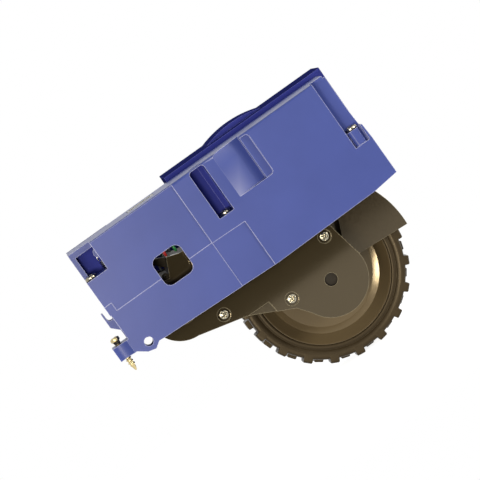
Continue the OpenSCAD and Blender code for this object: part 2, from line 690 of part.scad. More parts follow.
// The outline again, set in by the case wall
module arm_hollow() {
    second_r = pitch_2 * (n_second[0] / 2 + 0.85) + 0.8;
    third_r = pitch_3 * (n_third[0] / 2 + 0.85) + 0.8;
    circle(cup_r - case_t);
    translate([arm_len, 0]) circle(nose_r - case_t);
    translate(second_at) circle(second_r);
    translate(third_at) circle(third_r);
    polygon([[-0.3, 10], [-0.3, 18.3], [3.6, 19.1], second_at + second_r * [-sin(12), cos(12)],
        second_at + second_r * [sin(14), cos(14)], third_at + third_r * [sin(30), cos(30)],
        [arm_len + 2, nose_r - case_t - 0.2],
        [arm_len - (nose_r - case_t) * cos(50), -(nose_r - case_t) * sin(50)],
        screw_spots[1] + [1.6, -2.2], [24.8, -6.5], [6, -10]]);
}

// Gearbox cover with the pivot journal, screw counterbores and axle hole
module gearbox_cover() {
    color([0.2, 0.17, 0.13]) on_arm() difference() {
        union() {
            slab(arm_y, cover_back) arm_outline();
            bar([0, 0], wall + 1.4, arm_y + 1, journal_r);
            // Seats for the gear pins
            for (p = [first_at, second_at, third_at]) bar(p, cover_back - tiny, cover_back + 1.2, 2.2);
            ring([arm_len, 0], cover_back - tiny, cover_back + 3, bearing_r + 1.4, bearing_r);
        }
        difference() {
            bar([0, 0], arm_y - 1, arm_y + 1, recess_r);
            bar([0, 0], arm_y - 2, arm_y + 2, journal_r);
        }
        for (p = screw_spots) {
            bar(p, arm_y - 1, arm_y + 1.3, 2.7);
            bar(p, arm_y - 1, cover_back + 1, small_r + 0.15);
        }
        for (p = [first_at, second_at, third_at]) bar(p, cover_back - 1, cover_back + 2, pin_r);
        bar([arm_len, 0], arm_y - 1, cover_back + 4, 2.6);
        bar([arm_len, 0], cover_back - 0.8, cover_back + 4, bearing_r);
        // Above the pivot the cover keeps to its own smaller round, and the case's dowel shows
        slab(arm_y - 1, cover_back + tiny) difference() {
            rotate(droop) translate([-20, 10.7]) square([24, 14]);
            circle(cup_r - case_t + 0.2);
            translate([-1.9, 8]) square([30, 20]);
        }
        // The lower corner of the cover is cut back and shows the case behind it
        slab(arm_y - 1, cover_back - 0.6) polygon([[24.4, -8.6], [34.2, -4.2], [36.2, -7.3], [37.4, -10], [24, -10]]);
    }
}

// Gearbox case: tray for the gears, cup for the motor, boss for the axle
module gearbox_case() {
    color([0.16, 0.14, 0.11]) on_arm() difference() {
        union() {
            difference() {
                slab(cover_back, case_back) arm_outline();
                slab(cover_back - 1, case_back - case_t) arm_hollow();
            }
            // Wall behind the pinion that the motor is screwed to
            slab(motor_wall[0], motor_wall[1]) circle(cup_r);
            ring([0, 0], motor_wall[1], arch_y, cup_r, motor_r + run);
            // Bosses for the cover screws, and seats for the gear pins
            for (p = screw_spots) bar(p, cover_back, case_back - tiny, screw_boss_r);
            bar(second_at, layer_3[1] + 1, case_back - tiny, 2.2);
            bar(third_at, layer_4[1] + 0.5, case_back - tiny, 2.2);
            bar(first_at, layer_2[1] + 0.6, case_back - tiny, 2.2);
            bar([arm_len, 0], layer_4[1] + 0.6, wheel_y - 1.2, bearing_r + 1.6);
            // Dowel above the pivot
            ring((cup_r - 0.1) * [-sin(dowel_a), cos(dowel_a)], arm_y + 0.9, cover_back + 1, 1.15, 0.5);
            // Spring peg and the finger that works the switch
            slab(spring_y + 1.2, spring_y + 3.4) polygon([[-10, -5], lug_at + [-0.8, -1.7],
                lug_at + [-1.7, 0], lug_at + [0.8, 1.6], [-9, 6]]);
            bar(lug_at, spring_y + 1.2, spring_y + 3.4, 1.8);
            bar(lug_at, spring_y - 1.6, spring_y + 1.3, peg_r);
            bar(lug_at, spring_y - 2.3, spring_y - 1.5, peg_r + 0.5);
            slab(19.6, 23.8) polygon([[-1, 14.6], cam_at + [0.4, -1.2], cam_at + [0.1, 1.3], [-1, 19.2]]);
            bar(cam_at, 19.6, 23.8, 1.3);
        }
        bar([0, 0], motor_wall[1], arch_y + 1, motor_r + run);
        bar([0, 0], motor_wall[0] - 1, motor_wall[1] + 1, 3.2);
        for (a = [40, 220]) bar(8 * [cos(a), sin(a)], motor_wall[0] - 1, motor_wall[1] + 1, small_r + 0.1);
        for (p = screw_spots) bar(p, cover_back - 1, case_back - 4, small_r);
        for (p = [first_at, second_at, third_at]) bar(p, cover_back, case_back - 1, pin_r);
        bar([arm_len, 0], layer_4[1], wheel_y, bearing_r);
    }
}

// Guard plate in front of the wheel with a rim over the tread
module wheel_guard() {
    span = 50;
    color([0.15, 0.13, 0.1]) difference() {
        union() {
            on_arm() slab(guard_y + 0.4, guard_y + 0.4 + guard_t) translate([arm_len, 0]) guard_sector(guard_out, span);
            on_arm() slab(guard_y + 0.4, guard_y + 11) translate([arm_len, 0]) difference() {
                guard_sector(guard_out, span);
                circle(guard_in);
            }
        }
        bar([axle_x, axle_z], guard_y - 1, guard_y + 13, bearing_r + 2);
        // Open corner between the nose of the gearbox and the guard
        slab(guard_y - 1, guard_y + 13) translate([axle_x, axle_z]) difference() {
            polygon([[-2, 26], [20.2, 20.6], [14.4, 6.8], [12.3, 1.8], [-2, 1.8]]);
            circle(nose_r - 0.3);
        }
    }
}

// Slice of a disc that starts a little below level and rises over the wheel
module guard_sector(r, span) {
    low = droop - guard_low;
    intersection() {
        circle(r);
        polygon([[0, 0], 2 * r * [cos(low), sin(low)], 2 * r * [cos(low + span / 2), sin(low + span / 2)],
            2 * r * [cos(low + span), sin(low + span)]]);
    }
}

// Screws that close the gearbox
module cover_screws() {
    color([0.8, 0.78, 0.7]) on_arm() for (p = screw_spots)
        screw_across(p, arm_y + 1.3, -1, 9, small_r, 1.85, 1.1);
}

// Steel pins that carry the three double gears
module gear_pins() {
    color([0.8, 0.8, 0.82]) on_arm() for (p = [first_at, second_at, third_at])
        bar(p, cover_back - 0.6, case_back - 1.2, pin_r);
}

// Bearing of the axle in the cover
module front_bearing() {
    color([0.72, 0.6, 0.38]) on_arm()
        ring([arm_len, 0], cover_back - 0.7, cover_back + 3, bearing_r, axle_r + run);
}

// Ball bearing of the axle in the case, with its two grooves
module rear_bearing() {
    color([0.75, 0.75, 0.77]) on_arm() difference() {
        ring([arm_len, 0], case_back - case_t + 0.2, wheel_y - 1.2, bearing_r, axle_r + run);
        ring([arm_len, 0], wheel_y - 1.5, wheel_y, bearing_r - 0.6, axle_r + 0.6);
    }
}

// Motor can with its front boss
module motor_can() {
    color([0.7, 0.7, 0.72]) on_arm() difference() {
        union() {
            bar([0, 0], motor_wall[1], can_end, motor_r);
            bar([0, 0], motor_wall[0] + 0.3, motor_wall[1] + tiny, 3.1);
        }
        bar([0, 0], motor_wall[0] - 1, can_end + 1, shaft_r + run);
        for (a = [40, 220]) bar(8 * [cos(a), sin(a)], motor_wall[1] - 1, motor_wall[1] + 3, small_r);
    }
}

// Plastic end cap of the motor
module motor_end_cap() {
    color([0.85, 0.85, 0.8]) on_arm() difference() {
        bar([0, 0], can_end, cap_end, motor_r - 0.6);
        bar([0, 0], can_end - 1, cap_end + 1, shaft_r + run);
    }
}

// Two screws through the motor wall
module motor_screws() {
    color([0.75, 0.75, 0.72]) on_arm() for (a = [40, 220])
        screw_across(8 * [cos(a), sin(a)], motor_wall[0], -1, 4.4, small_r, 1.8, 0.6);
}

// Board that carries the encoder's light gate and the wire ends
module encoder_board() {
    color([0.1, 0.4, 0.2]) on_arm() difference() {
        bar([0, 0], cap_end, cap_end + 0.8, motor_r - 1);
        bar([0, 0], cap_end - 1, cap_end + 2, shaft_r + 0.6);
    }
}

// Light gate around the rim of the encoder disc
module encoder_sensor() {
    color([0.1, 0.1, 0.1]) on_arm() difference() {
        translate([-9, cap_end + 0.8, -2.4]) cube([4.6, 2.5, 4.8]);
        bar([0, 0], encoder_y - 0.4, encoder_y + 1, 7.6);
    }
}

// Cap over the encoder, with the far pivot pin
module encoder_cap() {
    color([0.13, 0.12, 0.11]) on_arm() difference() {
        union() {
            bar([0, 0], can_end + 0.4, pivot_end, motor_r + 0.8);
            bar([0, 0], pivot_end - tiny, cheek_y + 3.4, 3);
        }
        bar([0, 0], can_end - 1, pivot_end - 1, motor_r - 0.4);
        translate([-4, can_end, motor_r - 2]) cube([12, 3, 6]);
    }
}

// Motor shaft
module motor_shaft() {
    color([0.8, 0.8, 0.82]) on_arm() bar([0, 0], layer_1[0] - 0.6, encoder_y + 0.8, shaft_r);
}

// Pinion on the motor shaft
module motor_pinion() {
    color([0.8, 0.65, 0.35]) on_arm() difference() {
        gear_ring([0, 0], [layer_1[0] - 0.4, layer_1[1] + 2], n_motor, pitch_1, heading([0, 0], first_at));
        bar([0, 0], layer_1[0] - 2, layer_1[1] + 4, shaft_r);
    }
}

// Slotted disc of the encoder
module encoder_disc() {
    color([0.15, 0.15, 0.15]) on_arm() difference() {
        bar([0, 0], encoder_y, encoder_y + 0.6, 7);
        bar([0, 0], encoder_y - 1, encoder_y + 2, shaft_r);
        for (i = [0:11]) rotate([0, 30 * i, 0]) translate([5.3, encoder_y - 1, -0.45]) cube([1.1, 3, 0.9]);
    }
}

// A double gear: large ring, small ring and a bore for its pin
module double_gear(at, large, small, n, m_large, m_small, start_large, start_small) {
    on_arm() difference() {
        union() {
            gear_ring(at, large, n[0], m_large, start_large);
            gear_ring(at, [large[1] - tiny, small[1]], n[1], m_small, start_small);
        }
        bar(at, large[0] - 1, small[1] + 1, pin_r + run);
    }
}

// First double gear, driven by the pinion
module first_gear() {
    color([0.9, 0.88, 0.8]) double_gear(first_at, layer_1, layer_2, n_first, pitch_1, pitch_2,
        heading(first_at, [0, 0]) + 180 / n_first[0], heading(first_at, second_at));
}

// Second double gear
module second_gear() {
    color([0.85, 0.83, 0.75]) double_gear(second_at, layer_2, layer_3, n_second, pitch_2, pitch_3,
        heading(second_at, first_at) + 180 / n_second[0], heading(second_at, third_at));
}

// Third double gear
module third_gear() {
    color([0.8, 0.78, 0.7]) double_gear(third_at, layer_3, layer_4, n_third, pitch_3, pitch_4,
        heading(third_at, second_at) + 180 / n_third[0], heading(third_at, [arm_len, 0]));
}

// Output gear, fixed on the axle
module output_gear() {
    color([0.85, 0.83, 0.75]) on_arm() difference() {
        union() {
            gear_ring([arm_len, 0], layer_4, n_out, pitch_4, heading([arm_len, 0], third_at) + 180 / n_out);
            bar([arm_len, 0], cover_back + 3.4, layer_4[0] + tiny, axle_r + 1.2);
        }
        bar([arm_len, 0], cover_back + 3, layer_4[1] + 1, axle_r);
    }
}

// Steel axle with a tapped end
module wheel_axle() {
    color([0.78, 0.78, 0.8]) difference() {
        bar([axle_x, axle_z], cover_back + 0.6, wheel_back - 5.5, axle_r);
        bar([axle_x, axle_z], wheel_back - 14, wheel_back, small_r + 0.3);
    }
}

// Moulded rim and dished web of the wheel, turned about the axle
module wheel_hub() {
    rim = wheel_r - lug_h - tyre_t;
    color([0.3, 0.26, 0.2]) translate([axle_x, 0, axle_z]) rotate([-90, 0, 0]) difference() {
        rotate_extrude() polygon([[axle_r, wheel_y + 5], [axle_r + 3.4, wheel_y + 5],
            [axle_r + 4.4, wheel_y + 4.2], [rim - 6, wheel_y + 3.8], [rim - 3.4, wheel_y + 3.3],
            [rim - 2.3, wheel_y + 2.5], [rim + 0.2, wheel_y + 0.5], [rim + 0.7, wheel_y + 0.2],
            [rim + 0.9, wheel_y + 0.3], [rim + 0.9, wheel_y + 1.2],
            [rim, wheel_y + 1.2], [rim, wheel_back - 1.2], [rim + 0.9, wheel_back - 1.2],
            [rim + 0.9, wheel_back - 0.2], [rim - 2, wheel_back - 0.2], [rim - 3, wheel_back - 6],
            [axle_r + 6.6, wheel_back - 7.4], [axle_r + 6.4, wheel_back - 5.2], [axle_r, wheel_back - 5.2]]);
        for (i = [0:5]) rotate(60 * i + 30) translate([rim - 10, 0, wheel_y + 6.6])
            cylinder(h = wheel_w, r = 3.4);
    }
}

// Rubber tyre with two rows of lugs, one row half a step behind the other
module tyre() {
    rim = wheel_r - lug_h - tyre_t;
    tread = wheel_r - lug_h;
    step = 360 / lug_count;
    color([0.1, 0.095, 0.085]) translate([axle_x, 0, axle_z]) rotate([-90, 0, 0]) {
        rotate_extrude() polygon([[rim, wheel_y + 1.2], [rim + 0.9, wheel_y + 1.2],
            [rim + 0.9, wheel_y + 0.6], [rim + 1.5, wheel_y], [rim + 2.7, wheel_y],
            [rim + 3, wheel_y + 0.4], [rim + 3.3, wheel_y], [tread - 0.8, wheel_y],
            [tread, wheel_y + 0.8], [tread, wheel_back - 0.8], [tread - 0.8, wheel_back],
            [rim + 1.5, wheel_back], [rim + 0.9, wheel_back - 0.4], [rim + 0.9, wheel_back - 1.2],
            [rim, wheel_back - 1.2]]);
        for (i = [0:lug_count - 1]) {
            rotate(step * (i + 0.44)) tread_lug(tread, wheel_y, wheel_y + wheel_w / 2 - 0.6);
            rotate(step * (i + 0.94)) tread_lug(tread, wheel_y + wheel_w / 2 + 0.6, wheel_back);
        }
    }
}

// One tread lug with drafted flanks
module tread_lug(r, y0, y1) {
    half = 2.1;
    translate([0, 0, y0]) linear_extrude(y1 - y0) polygon([[r - 0.6, -half], [r + lug_h - 0.1, -half + 0.3],
        [r + lug_h, 0], [r + lug_h - 0.1, half - 0.3], [r - 0.6, half]]);
}

// Washer under the wheel screw
module wheel_washer() {
    color([0.75, 0.75, 0.77])
        ring([axle_x, axle_z], wheel_back - 5.2, wheel_back - 4.4, 5, small_r + 0.5);
}

// Screw that holds the wheel on the axle
module wheel_screw() {
    color([0.8, 0.8, 0.78])
        screw_across([axle_x, axle_z], wheel_back - 4.4, 1, 8, small_r + 0.3, 3, 1.6);
}

// Cap that closes the outer side of the hub
module hub_cap() {
    rim = wheel_r - lug_h - tyre_t;
    color([0.2, 0.18, 0.15]) translate([axle_x, 0, axle_z]) rotate([-90, 0, 0]) difference() {
        rotate_extrude() polygon([[0, wheel_back - 2.2], [9, wheel_back - 2.2], [rim - 6, wheel_back - 3],
            [rim - 3.2, wheel_back - 3], [rim - 3.2, wheel_back - 1.6], [rim - 6, wheel_back - 1.4],
            [9, wheel_back - 0.4], [0, wheel_back - 0.4]]);
        for (i = [0:5]) rotate(60 * i) translate([rim - 12, 0, wheel_back - 5]) cylinder(h = 9, r = 2.6);
    }
}

front_housing();
rear_housing();
housing_screws();
mounting_screws();
bracket_screw();
front_bush();
rear_bush();
suspension_spring();
switch_body();
switch_terminals();
switch_plunger();
switch_lever();
connector_socket();
connector_pins();
wire_red();
wire_black();
wire_green();
wire_white();
gearbox_cover();
gearbox_case();
wheel_guard();
cover_screws();
gear_pins();
front_bearing();
rear_bearing();
motor_can();
motor_end_cap();
motor_screws();
encoder_board();
encoder_sensor();
encoder_cap();
motor_shaft();
motor_pinion();
encoder_disc();
first_gear();
second_gear();
third_gear();
output_gear();
wheel_axle();
wheel_hub();
tyre();
wheel_washer();
wheel_screw();
hub_cap();
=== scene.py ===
# %% [markdown]
# # A robot vacuum's drive wheel module
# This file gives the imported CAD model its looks: eased mouldings, satin plastics, threaded screws, a
# lugged tyre and a loom of soft wires. The CAD frame is loaded first and never moved. What is right in
# CAD keeps its shape and only gets modifiers and a material. What CAD holds as a plain envelope, such as
# a wire, a thread or the tyre's tread, is built again here in mesh code.

# %% Load the frame
import bpy
import bmesh
import json
import math
from mathutils import Matrix, Vector


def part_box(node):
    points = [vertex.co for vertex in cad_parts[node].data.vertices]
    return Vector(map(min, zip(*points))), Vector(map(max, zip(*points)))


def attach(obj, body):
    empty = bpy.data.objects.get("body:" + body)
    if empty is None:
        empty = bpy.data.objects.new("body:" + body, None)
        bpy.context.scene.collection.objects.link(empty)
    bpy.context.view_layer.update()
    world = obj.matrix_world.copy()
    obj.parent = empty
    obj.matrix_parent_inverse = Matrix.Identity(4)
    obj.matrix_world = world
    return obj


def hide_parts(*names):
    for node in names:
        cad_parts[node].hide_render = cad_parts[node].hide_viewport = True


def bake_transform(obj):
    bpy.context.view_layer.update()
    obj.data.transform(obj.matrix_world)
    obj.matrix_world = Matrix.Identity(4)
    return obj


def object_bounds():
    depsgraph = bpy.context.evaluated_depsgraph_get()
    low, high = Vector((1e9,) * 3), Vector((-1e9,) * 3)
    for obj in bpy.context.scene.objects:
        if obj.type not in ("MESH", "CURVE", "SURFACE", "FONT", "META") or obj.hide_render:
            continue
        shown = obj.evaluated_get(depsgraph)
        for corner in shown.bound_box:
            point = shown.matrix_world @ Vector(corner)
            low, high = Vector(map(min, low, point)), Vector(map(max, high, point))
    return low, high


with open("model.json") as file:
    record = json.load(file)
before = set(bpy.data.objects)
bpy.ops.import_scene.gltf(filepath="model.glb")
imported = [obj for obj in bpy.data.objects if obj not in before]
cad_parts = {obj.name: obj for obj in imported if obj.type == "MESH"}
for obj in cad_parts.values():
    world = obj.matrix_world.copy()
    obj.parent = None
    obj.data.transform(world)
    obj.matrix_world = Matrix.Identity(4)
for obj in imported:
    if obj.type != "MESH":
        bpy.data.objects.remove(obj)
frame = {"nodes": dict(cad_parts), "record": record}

cad_box = [list(corner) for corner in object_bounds()]
nodes = frame["nodes"]
MM = 0.001
MICRON = 1e-6
print(len(nodes), "CAD nodes; box in mm:", [[round(v / MM, 1) for v in c] for c in cad_box])

# %% [markdown]
# The module is a small thing seen through a long lens, so its edges stay almost parallel. The camera
# stands 0.9 m in front of the housing, a little above it. The photo shows the module tilted. The object
# could be turned for that, but here the camera rolls instead, because the object stays level in its own
# frame.

# %% Camera at the photo's angle
scene = bpy.context.scene
look_at = Vector((0.0506, 0.0, 0.0113))
CAMERA_AWAY = 0.9
azimuth, elevation, roll = math.radians(-3.0), math.radians(5.6), math.radians(35.25)
back = Vector((math.sin(azimuth) * math.cos(elevation), -math.cos(azimuth) * math.cos(elevation),
               math.sin(elevation)))
camera = bpy.data.objects.new("camera", bpy.data.cameras.new("camera"))
scene.collection.objects.link(camera)
camera.data.sensor_width = 36.0
camera.data.lens = 177.2
camera.location = look_at + CAMERA_AWAY * back
tilted = back.to_track_quat("Z", "Y") @ Matrix.Rotation(-roll, 3, "Z").to_quaternion()
camera.rotation_euler = tilted.to_euler()
scene.camera = camera
scene.view_settings.view_transform = "Standard"
print("camera at", [round(v, 3) for v in camera.location])

# %% [markdown]
# The photo's background is plain white. A white world would light the object far too much, so two skies
# are mixed by the kind of ray: the camera, glossy faces and clear faces see white, and everything else
# gets a soft grey light.

# %% World
SEEN_BY = ["Is Camera Ray", "Is Glossy Ray", "Is Transmission Ray"]


def node_of(tree, kind, **values):
    """Adds a shader node and sets its plain attributes."""
    n = tree.nodes.new(kind)
    for key, value in values.items():
        setattr(n, key, value)
    return n


def any_of_rays(tree, names):
    """One number that is 1 for the named kinds of ray."""
    rays = node_of(tree, "ShaderNodeLightPath")
    out = rays.outputs[names[0]]
    for name in names[1:]:
        m = node_of(tree, "ShaderNodeMath", operation="MAXIMUM")
        tree.links.new(out, m.inputs[0])
        tree.links.new(rays.outputs[name], m.inputs[1])
        out = m.outputs[0]
    return out


world = bpy.data.worlds.new("studio")
scene.world = world
world.use_nodes = True
wt = world.node_tree
wt.nodes.clear()
soft = node_of(wt, "ShaderNodeBackground")
soft.inputs["Color"].default_value = (0.93, 0.95, 1.0, 1)
soft.inputs["Strength"].default_value = 0.24
white = node_of(wt, "ShaderNodeBackground")
white.inputs["Color"].default_value = (1, 1, 1, 1)
white.inputs["Strength"].default_value = 1.0
pick = node_of(wt, "ShaderNodeMixShader")
sky = node_of(wt, "ShaderNodeOutputWorld")
wt.links.new(any_of_rays(wt, SEEN_BY), pick.inputs[0])
wt.links.new(soft.outputs[0], pick.inputs[1])
wt.links.new(white.outputs[0], pick.inputs[2])
wt.links.new(pick.outputs[0], sky.inputs[0])
print("world: soft light of", soft.inputs["Strength"].default_value, "and a white background")

# %% [markdown]
# The floor is one big square under the wheel. Its material is built from a few plain surfaces: a matt
# one, a glowing one, and mixes of them. One group of nodes per surface could be drawn by hand in the
# editor. As small functions they can be named, and read in the order in which they are joined.

# %% Floor and plain surfaces
HALF_FLOOR = 3
ground = cad_box[0][2]
floor_mesh = bpy.data.meshes.new("floor")
corners = [(x * HALF_FLOOR, y * HALF_FLOOR, ground) for x, y in ((-1, -1), (1, -1), (1, 1), (-1, 1))]
floor_mesh.from_pydata(corners, [], [(0, 1, 2, 3)])
floor = bpy.data.objects.new("floor", floor_mesh)
scene.collection.objects.link(floor)
paper = bpy.data.materials.new("floor_paper")
paper.use_nodes = True
ft = paper.node_tree
ft.nodes.clear()


def matt_of(grey):
    """A matt surface of one grey."""
    n = node_of(ft, "ShaderNodeBsdfDiffuse")
    n.inputs["Color"].default_value = (grey, grey, grey, 1)
    return n.outputs[0]


def glow_of(strength):
    """A white surface that shines by itself."""
    n = node_of(ft, "ShaderNodeEmission")
    n.inputs["Strength"].default_value = strength
    return n.outputs[0]


def mixed_by(share, first, second):
    """The first surface where share is 0, and the second one where it is 1."""
    n = node_of(ft, "ShaderNodeMixShader")
    for source, target in zip((share, first, second), n.inputs):
        ft.links.new(source, target)
    return n.outputs[0]


def spread(tree, value, start, end, low=0.0, high=1.0):
    """Low up to start, high from end on, and an even ramp in between."""
    n = node_of(tree, "ShaderNodeMapRange")
    n.inputs["From Min"].default_value = start
    n.inputs["From Max"].default_value = end
    n.inputs["To Min"].default_value = low
    n.inputs["To Max"].default_value = high
    tree.links.new(value, n.inputs["Value"])
    return n.outputs["Result"]


print("floor at", round(ground / MM, 1), "mm")

# %% [markdown]
# To the camera the paper is as white as the world, and close to the module its matt part keeps the
# shadow. Other light sees a dimmer paper, so that the tyre's underside stays dark. The gloss on the
# brown gearbox has one straight border in the photo: below it the plastic shows the paper, and above it
# something dark. So the paper ends in front of the module, and a dark table begins there, which only
# glossy faces see. A second object could be the table, but it would be in the picture too.

# %% Paper on a dark table
PAPER_EDGE = -0.315
PAPER_EDGE_BLUR = 0.01
SHADOW_NEAR, SHADOW_FAR = 0.06, 0.15
PAPER_GREY, PAPER_GLOW = 0.80, 0.88  # its matt part, and the light that lifts it to white
BOUNCE_GREY, TABLE_GREY = 0.30, 0.02
under_module = (0.055, 0.03, ground)
where = node_of(ft, "ShaderNodeNewGeometry")
away = node_of(ft, "ShaderNodeVectorMath", operation="DISTANCE")
away.inputs[1].default_value = under_module
ft.links.new(where.outputs["Position"], away.inputs[0])
shadowed = node_of(ft, "ShaderNodeAddShader")
ft.links.new(matt_of(PAPER_GREY), shadowed.inputs[0])
ft.links.new(glow_of(PAPER_GLOW), shadowed.inputs[1])
fade = spread(ft, away.outputs["Value"], SHADOW_NEAR, SHADOW_FAR)
seen = mixed_by(fade, shadowed.outputs[0], glow_of(1.0))
sheet = mixed_by(any_of_rays(ft, SEEN_BY), matt_of(BOUNCE_GREY), seen)
along = node_of(ft, "ShaderNodeSeparateXYZ")
ft.links.new(where.outputs["Position"], along.inputs[0])
on_table = node_of(ft, "ShaderNodeMath", operation="MULTIPLY")
beyond = spread(ft, along.outputs["Y"], PAPER_EDGE, PAPER_EDGE - PAPER_EDGE_BLUR)
ft.links.new(beyond, on_table.inputs[0])
ft.links.new(any_of_rays(ft, ["Is Glossy Ray"]), on_table.inputs[1])
paper_out = node_of(ft, "ShaderNodeOutputMaterial")
ft.links.new(mixed_by(on_table.outputs[0], sheet, matt_of(TABLE_GREY)), paper_out.inputs[0])
floor_mesh.materials.append(paper)
print("paper ends at", round(PAPER_EDGE / MM), "mm, in", len(ft.nodes), "nodes")

# %% [markdown]
# The photo was lit from the lower left, so the wall's left end is pale with gloss, and it turns to a
# deeper blue on the right. Soft boxes are area lamps, and a large one gives soft shading. The key box
# lights the wall, and a small warm box close to it lays the pale veil on the left end. The others fill
# the right side and draw the edges from behind.

# %% Soft boxes
def soft_box(name, place, size, watts, tint):
    """An area lamp that looks at the module."""
    lamp = bpy.data.lights.new(name, "AREA")
    lamp.shape = "RECTANGLE"
    lamp.size, lamp.size_y = size
    lamp.energy = watts
    lamp.color = tint
    o = bpy.data.objects.new(name, lamp)
    scene.collection.objects.link(o)
    o.location = place
    o.rotation_euler = (Vector(place) - look_at).to_track_quat("Z", "Y").to_euler()


soft_box("key_box", (-0.45, -0.85, 0.12), (0.5, 0.4), 3.0, (1.0, 0.98, 0.94))
soft_box("veil_box", (-0.15, -0.80, 0.0), (0.16, 0.10), 3.4, (1.0, 0.90, 0.72))
soft_box("fill_box", (0.70, -0.75, 0.10), (0.5, 0.5), 1.3, (0.97, 0.98, 1.0))
soft_box("side_box", (0.50, -0.20, 0.0), (0.2, 0.2), 1.6, (1.0, 0.93, 0.80))
soft_box("rim_box", (0.25, 0.70, 0.65), (0.6, 0.4), 0.7, (0.96, 0.98, 1.0))

# %% [markdown]
# In the photo the mouldings' edges are paler than their faces, where their rounding catches the light. Here
# that highlight is painted into the base colour. A painted mask could lighten them, but it would have to be
# made anew after each change of shape. The Bevel node rounds the normal near an edge, and where that leaves
# the true normal, the edge colour is mixed in as a painted highlight. Colours are written as they look in a
# picture, and one function turns them into light.

# %% Colour, noise and painted edge highlights
HIGHLIGHT_REACH = 0.4 * MM
HIGHLIGHT_FROM, HIGHLIGHT_FULL = 0.995, 0.85  # the cosine between the two normals
MIX_A, MIX_B, MIX_OUT = 6, 7, 2  # the Mix node's sockets for colours


def srgb(r, g, b):
    """A colour as the eye reads it, 0 to 255, turned into the light values that shaders use."""
    return tuple(((v / 255 + 0.055) / 1.055) ** 2.4 if v > 10 else v / 255 / 12.92 for v in (r, g, b))


def noise(tree, place, scale, detail):
    """Noise of one scale, measured in the given coordinates."""
    n = node_of(tree, "ShaderNodeTexNoise")
    n.inputs["Scale"].default_value = scale
    n.inputs["Detail"].default_value = detail
    tree.links.new(place, n.inputs["Vector"])
    return n.outputs["Fac"]


def painted_edge_highlight(tree, paint, edge):
    """The paint, with a painted highlight in the edge colour where the rounded normal leaves the true one."""
    rounded = node_of(tree, "ShaderNodeBevel", samples=6)
    rounded.inputs["Radius"].default_value = HIGHLIGHT_REACH
    flat = node_of(tree, "ShaderNodeNewGeometry")
    same = node_of(tree, "ShaderNodeVectorMath", operation="DOT_PRODUCT")
    tree.links.new(rounded.outputs["Normal"], same.inputs[0])
    tree.links.new(flat.outputs["True Normal"], same.inputs[1])
    mixed = node_of(tree, "ShaderNodeMix", data_type="RGBA")
    tree.links.new(spread(tree, same.outputs["Value"], HIGHLIGHT_FROM, HIGHLIGHT_FULL), mixed.inputs[0])
    tree.links.new(paint, mixed.inputs[MIX_A])
    mixed.inputs[MIX_B].default_value = (*edge, 1)
    return mixed.outputs[MIX_OUT]


print("mid grey 128 as a light value:", round(srgb(128, 128, 128)[0], 3))

# %% [markdown]
# Every finish is a small shader tree. Moulded plastic has a fine spark-eroded grain and a slow drift of
# colour where the melt flowed, and metal may have streaks from drawing or grinding. Painted images could
# show this too, but noise in the object's own coordinates, in metres, keeps its real size on every
# piece. So one maker serves plastics and metals alike.

# %% A maker for finishes
MELT_SCALE = 45.0
MELT_RANGE, GRAIN_RANGE = (0.3, 0.7), (0.25, 0.75)  # where most of the noise lies
ROUGH_DRIFT = 0.06


def finish(name, colour, rough=0.45, metal=0.0, drift=0.06, grain=0.0, grain_size=0.4 * MM, coat=0.0,
           specular=0.5, tint=(1, 1, 1), streak=None, edge=None):
    """One material; grain is the depth of its texture and grain_size the pitch, both in metres."""
    m = bpy.data.materials.new(name)
    m.use_nodes = True
    t = m.node_tree
    shader = t.nodes["Principled BSDF"]
    shader.inputs["Metallic"].default_value = metal
    shader.inputs["Coat Weight"].default_value = coat
    shader.inputs["Coat Roughness"].default_value = 0.12
    shader.inputs["Specular IOR Level"].default_value = specular
    shader.inputs["Specular Tint"].default_value = (*tint, 1)
    place = node_of(t, "ShaderNodeTexCoord").outputs["Object"]
    tone = spread(t, noise(t, place, MELT_SCALE, 3.0), *MELT_RANGE, 1.0 - drift, 1.0 + drift)
    drifting = node_of(t, "ShaderNodeVectorMath", operation="SCALE")
    drifting.inputs[0].default_value = colour
    t.links.new(tone, drifting.inputs["Scale"])
    paint = drifting.outputs["Vector"]
    # edge is the colour of a painted highlight, mixed into the paint near each edge
    if edge:
        paint = painted_edge_highlight(t, paint, edge)
    t.links.new(paint, shader.inputs["Base Color"])
    if streak:
        stretch = node_of(t, "ShaderNodeMapping")
        stretch.inputs["Scale"].default_value = streak
        t.links.new(place, stretch.inputs["Vector"])
        place = stretch.outputs["Vector"]
    fine = noise(t, place, 1.0 / grain_size, 2.0)
    gloss = spread(t, fine, *GRAIN_RANGE, max(0.02, rough - ROUGH_DRIFT), min(1.0, rough + ROUGH_DRIFT))
    t.links.new(gloss, shader.inputs["Roughness"])
    if grain:
        bump = node_of(t, "ShaderNodeBump")
        bump.inputs["Strength"].default_value = 1.0
        bump.inputs["Distance"].default_value = grain
        t.links.new(fine, bump.inputs["Height"])
        t.links.new(bump.outputs["Normal"], shader.inputs["Normal"])
    return m


print("roughness drifts by", ROUGH_DRIFT, "both ways")

# %% [markdown]
# The housing is two blue mouldings. The front one is satin, with painted highlights along its edges. The rear
# one is the same blue darkened as painted shade, for the shade on its top and hump. Its top is seen at a low
# angle, where even a rough plastic mirrors the white background. The photo shows no such sheen, so its
# specular level is zero.

# %% Finishes of the housing
finishes = {
    # The edge colours below are painted highlights.
    "housing_blue": finish("moulded_blue", srgb(69, 83, 154), 0.34, grain=9 * MICRON, grain_size=0.35 * MM,
                           specular=0.26, edge=srgb(188, 192, 226)),
    # The housing's blue, darkened all over as painted shade for the rear moulding.
    "housing_dark_blue": finish("moulded_blue_painted_shade", srgb(55, 61, 140), 0.40, grain=9 * MICRON,
                                grain_size=0.35 * MM, specular=0.0, edge=srgb(104, 108, 178)),
}
print("housing:", sorted(finishes))

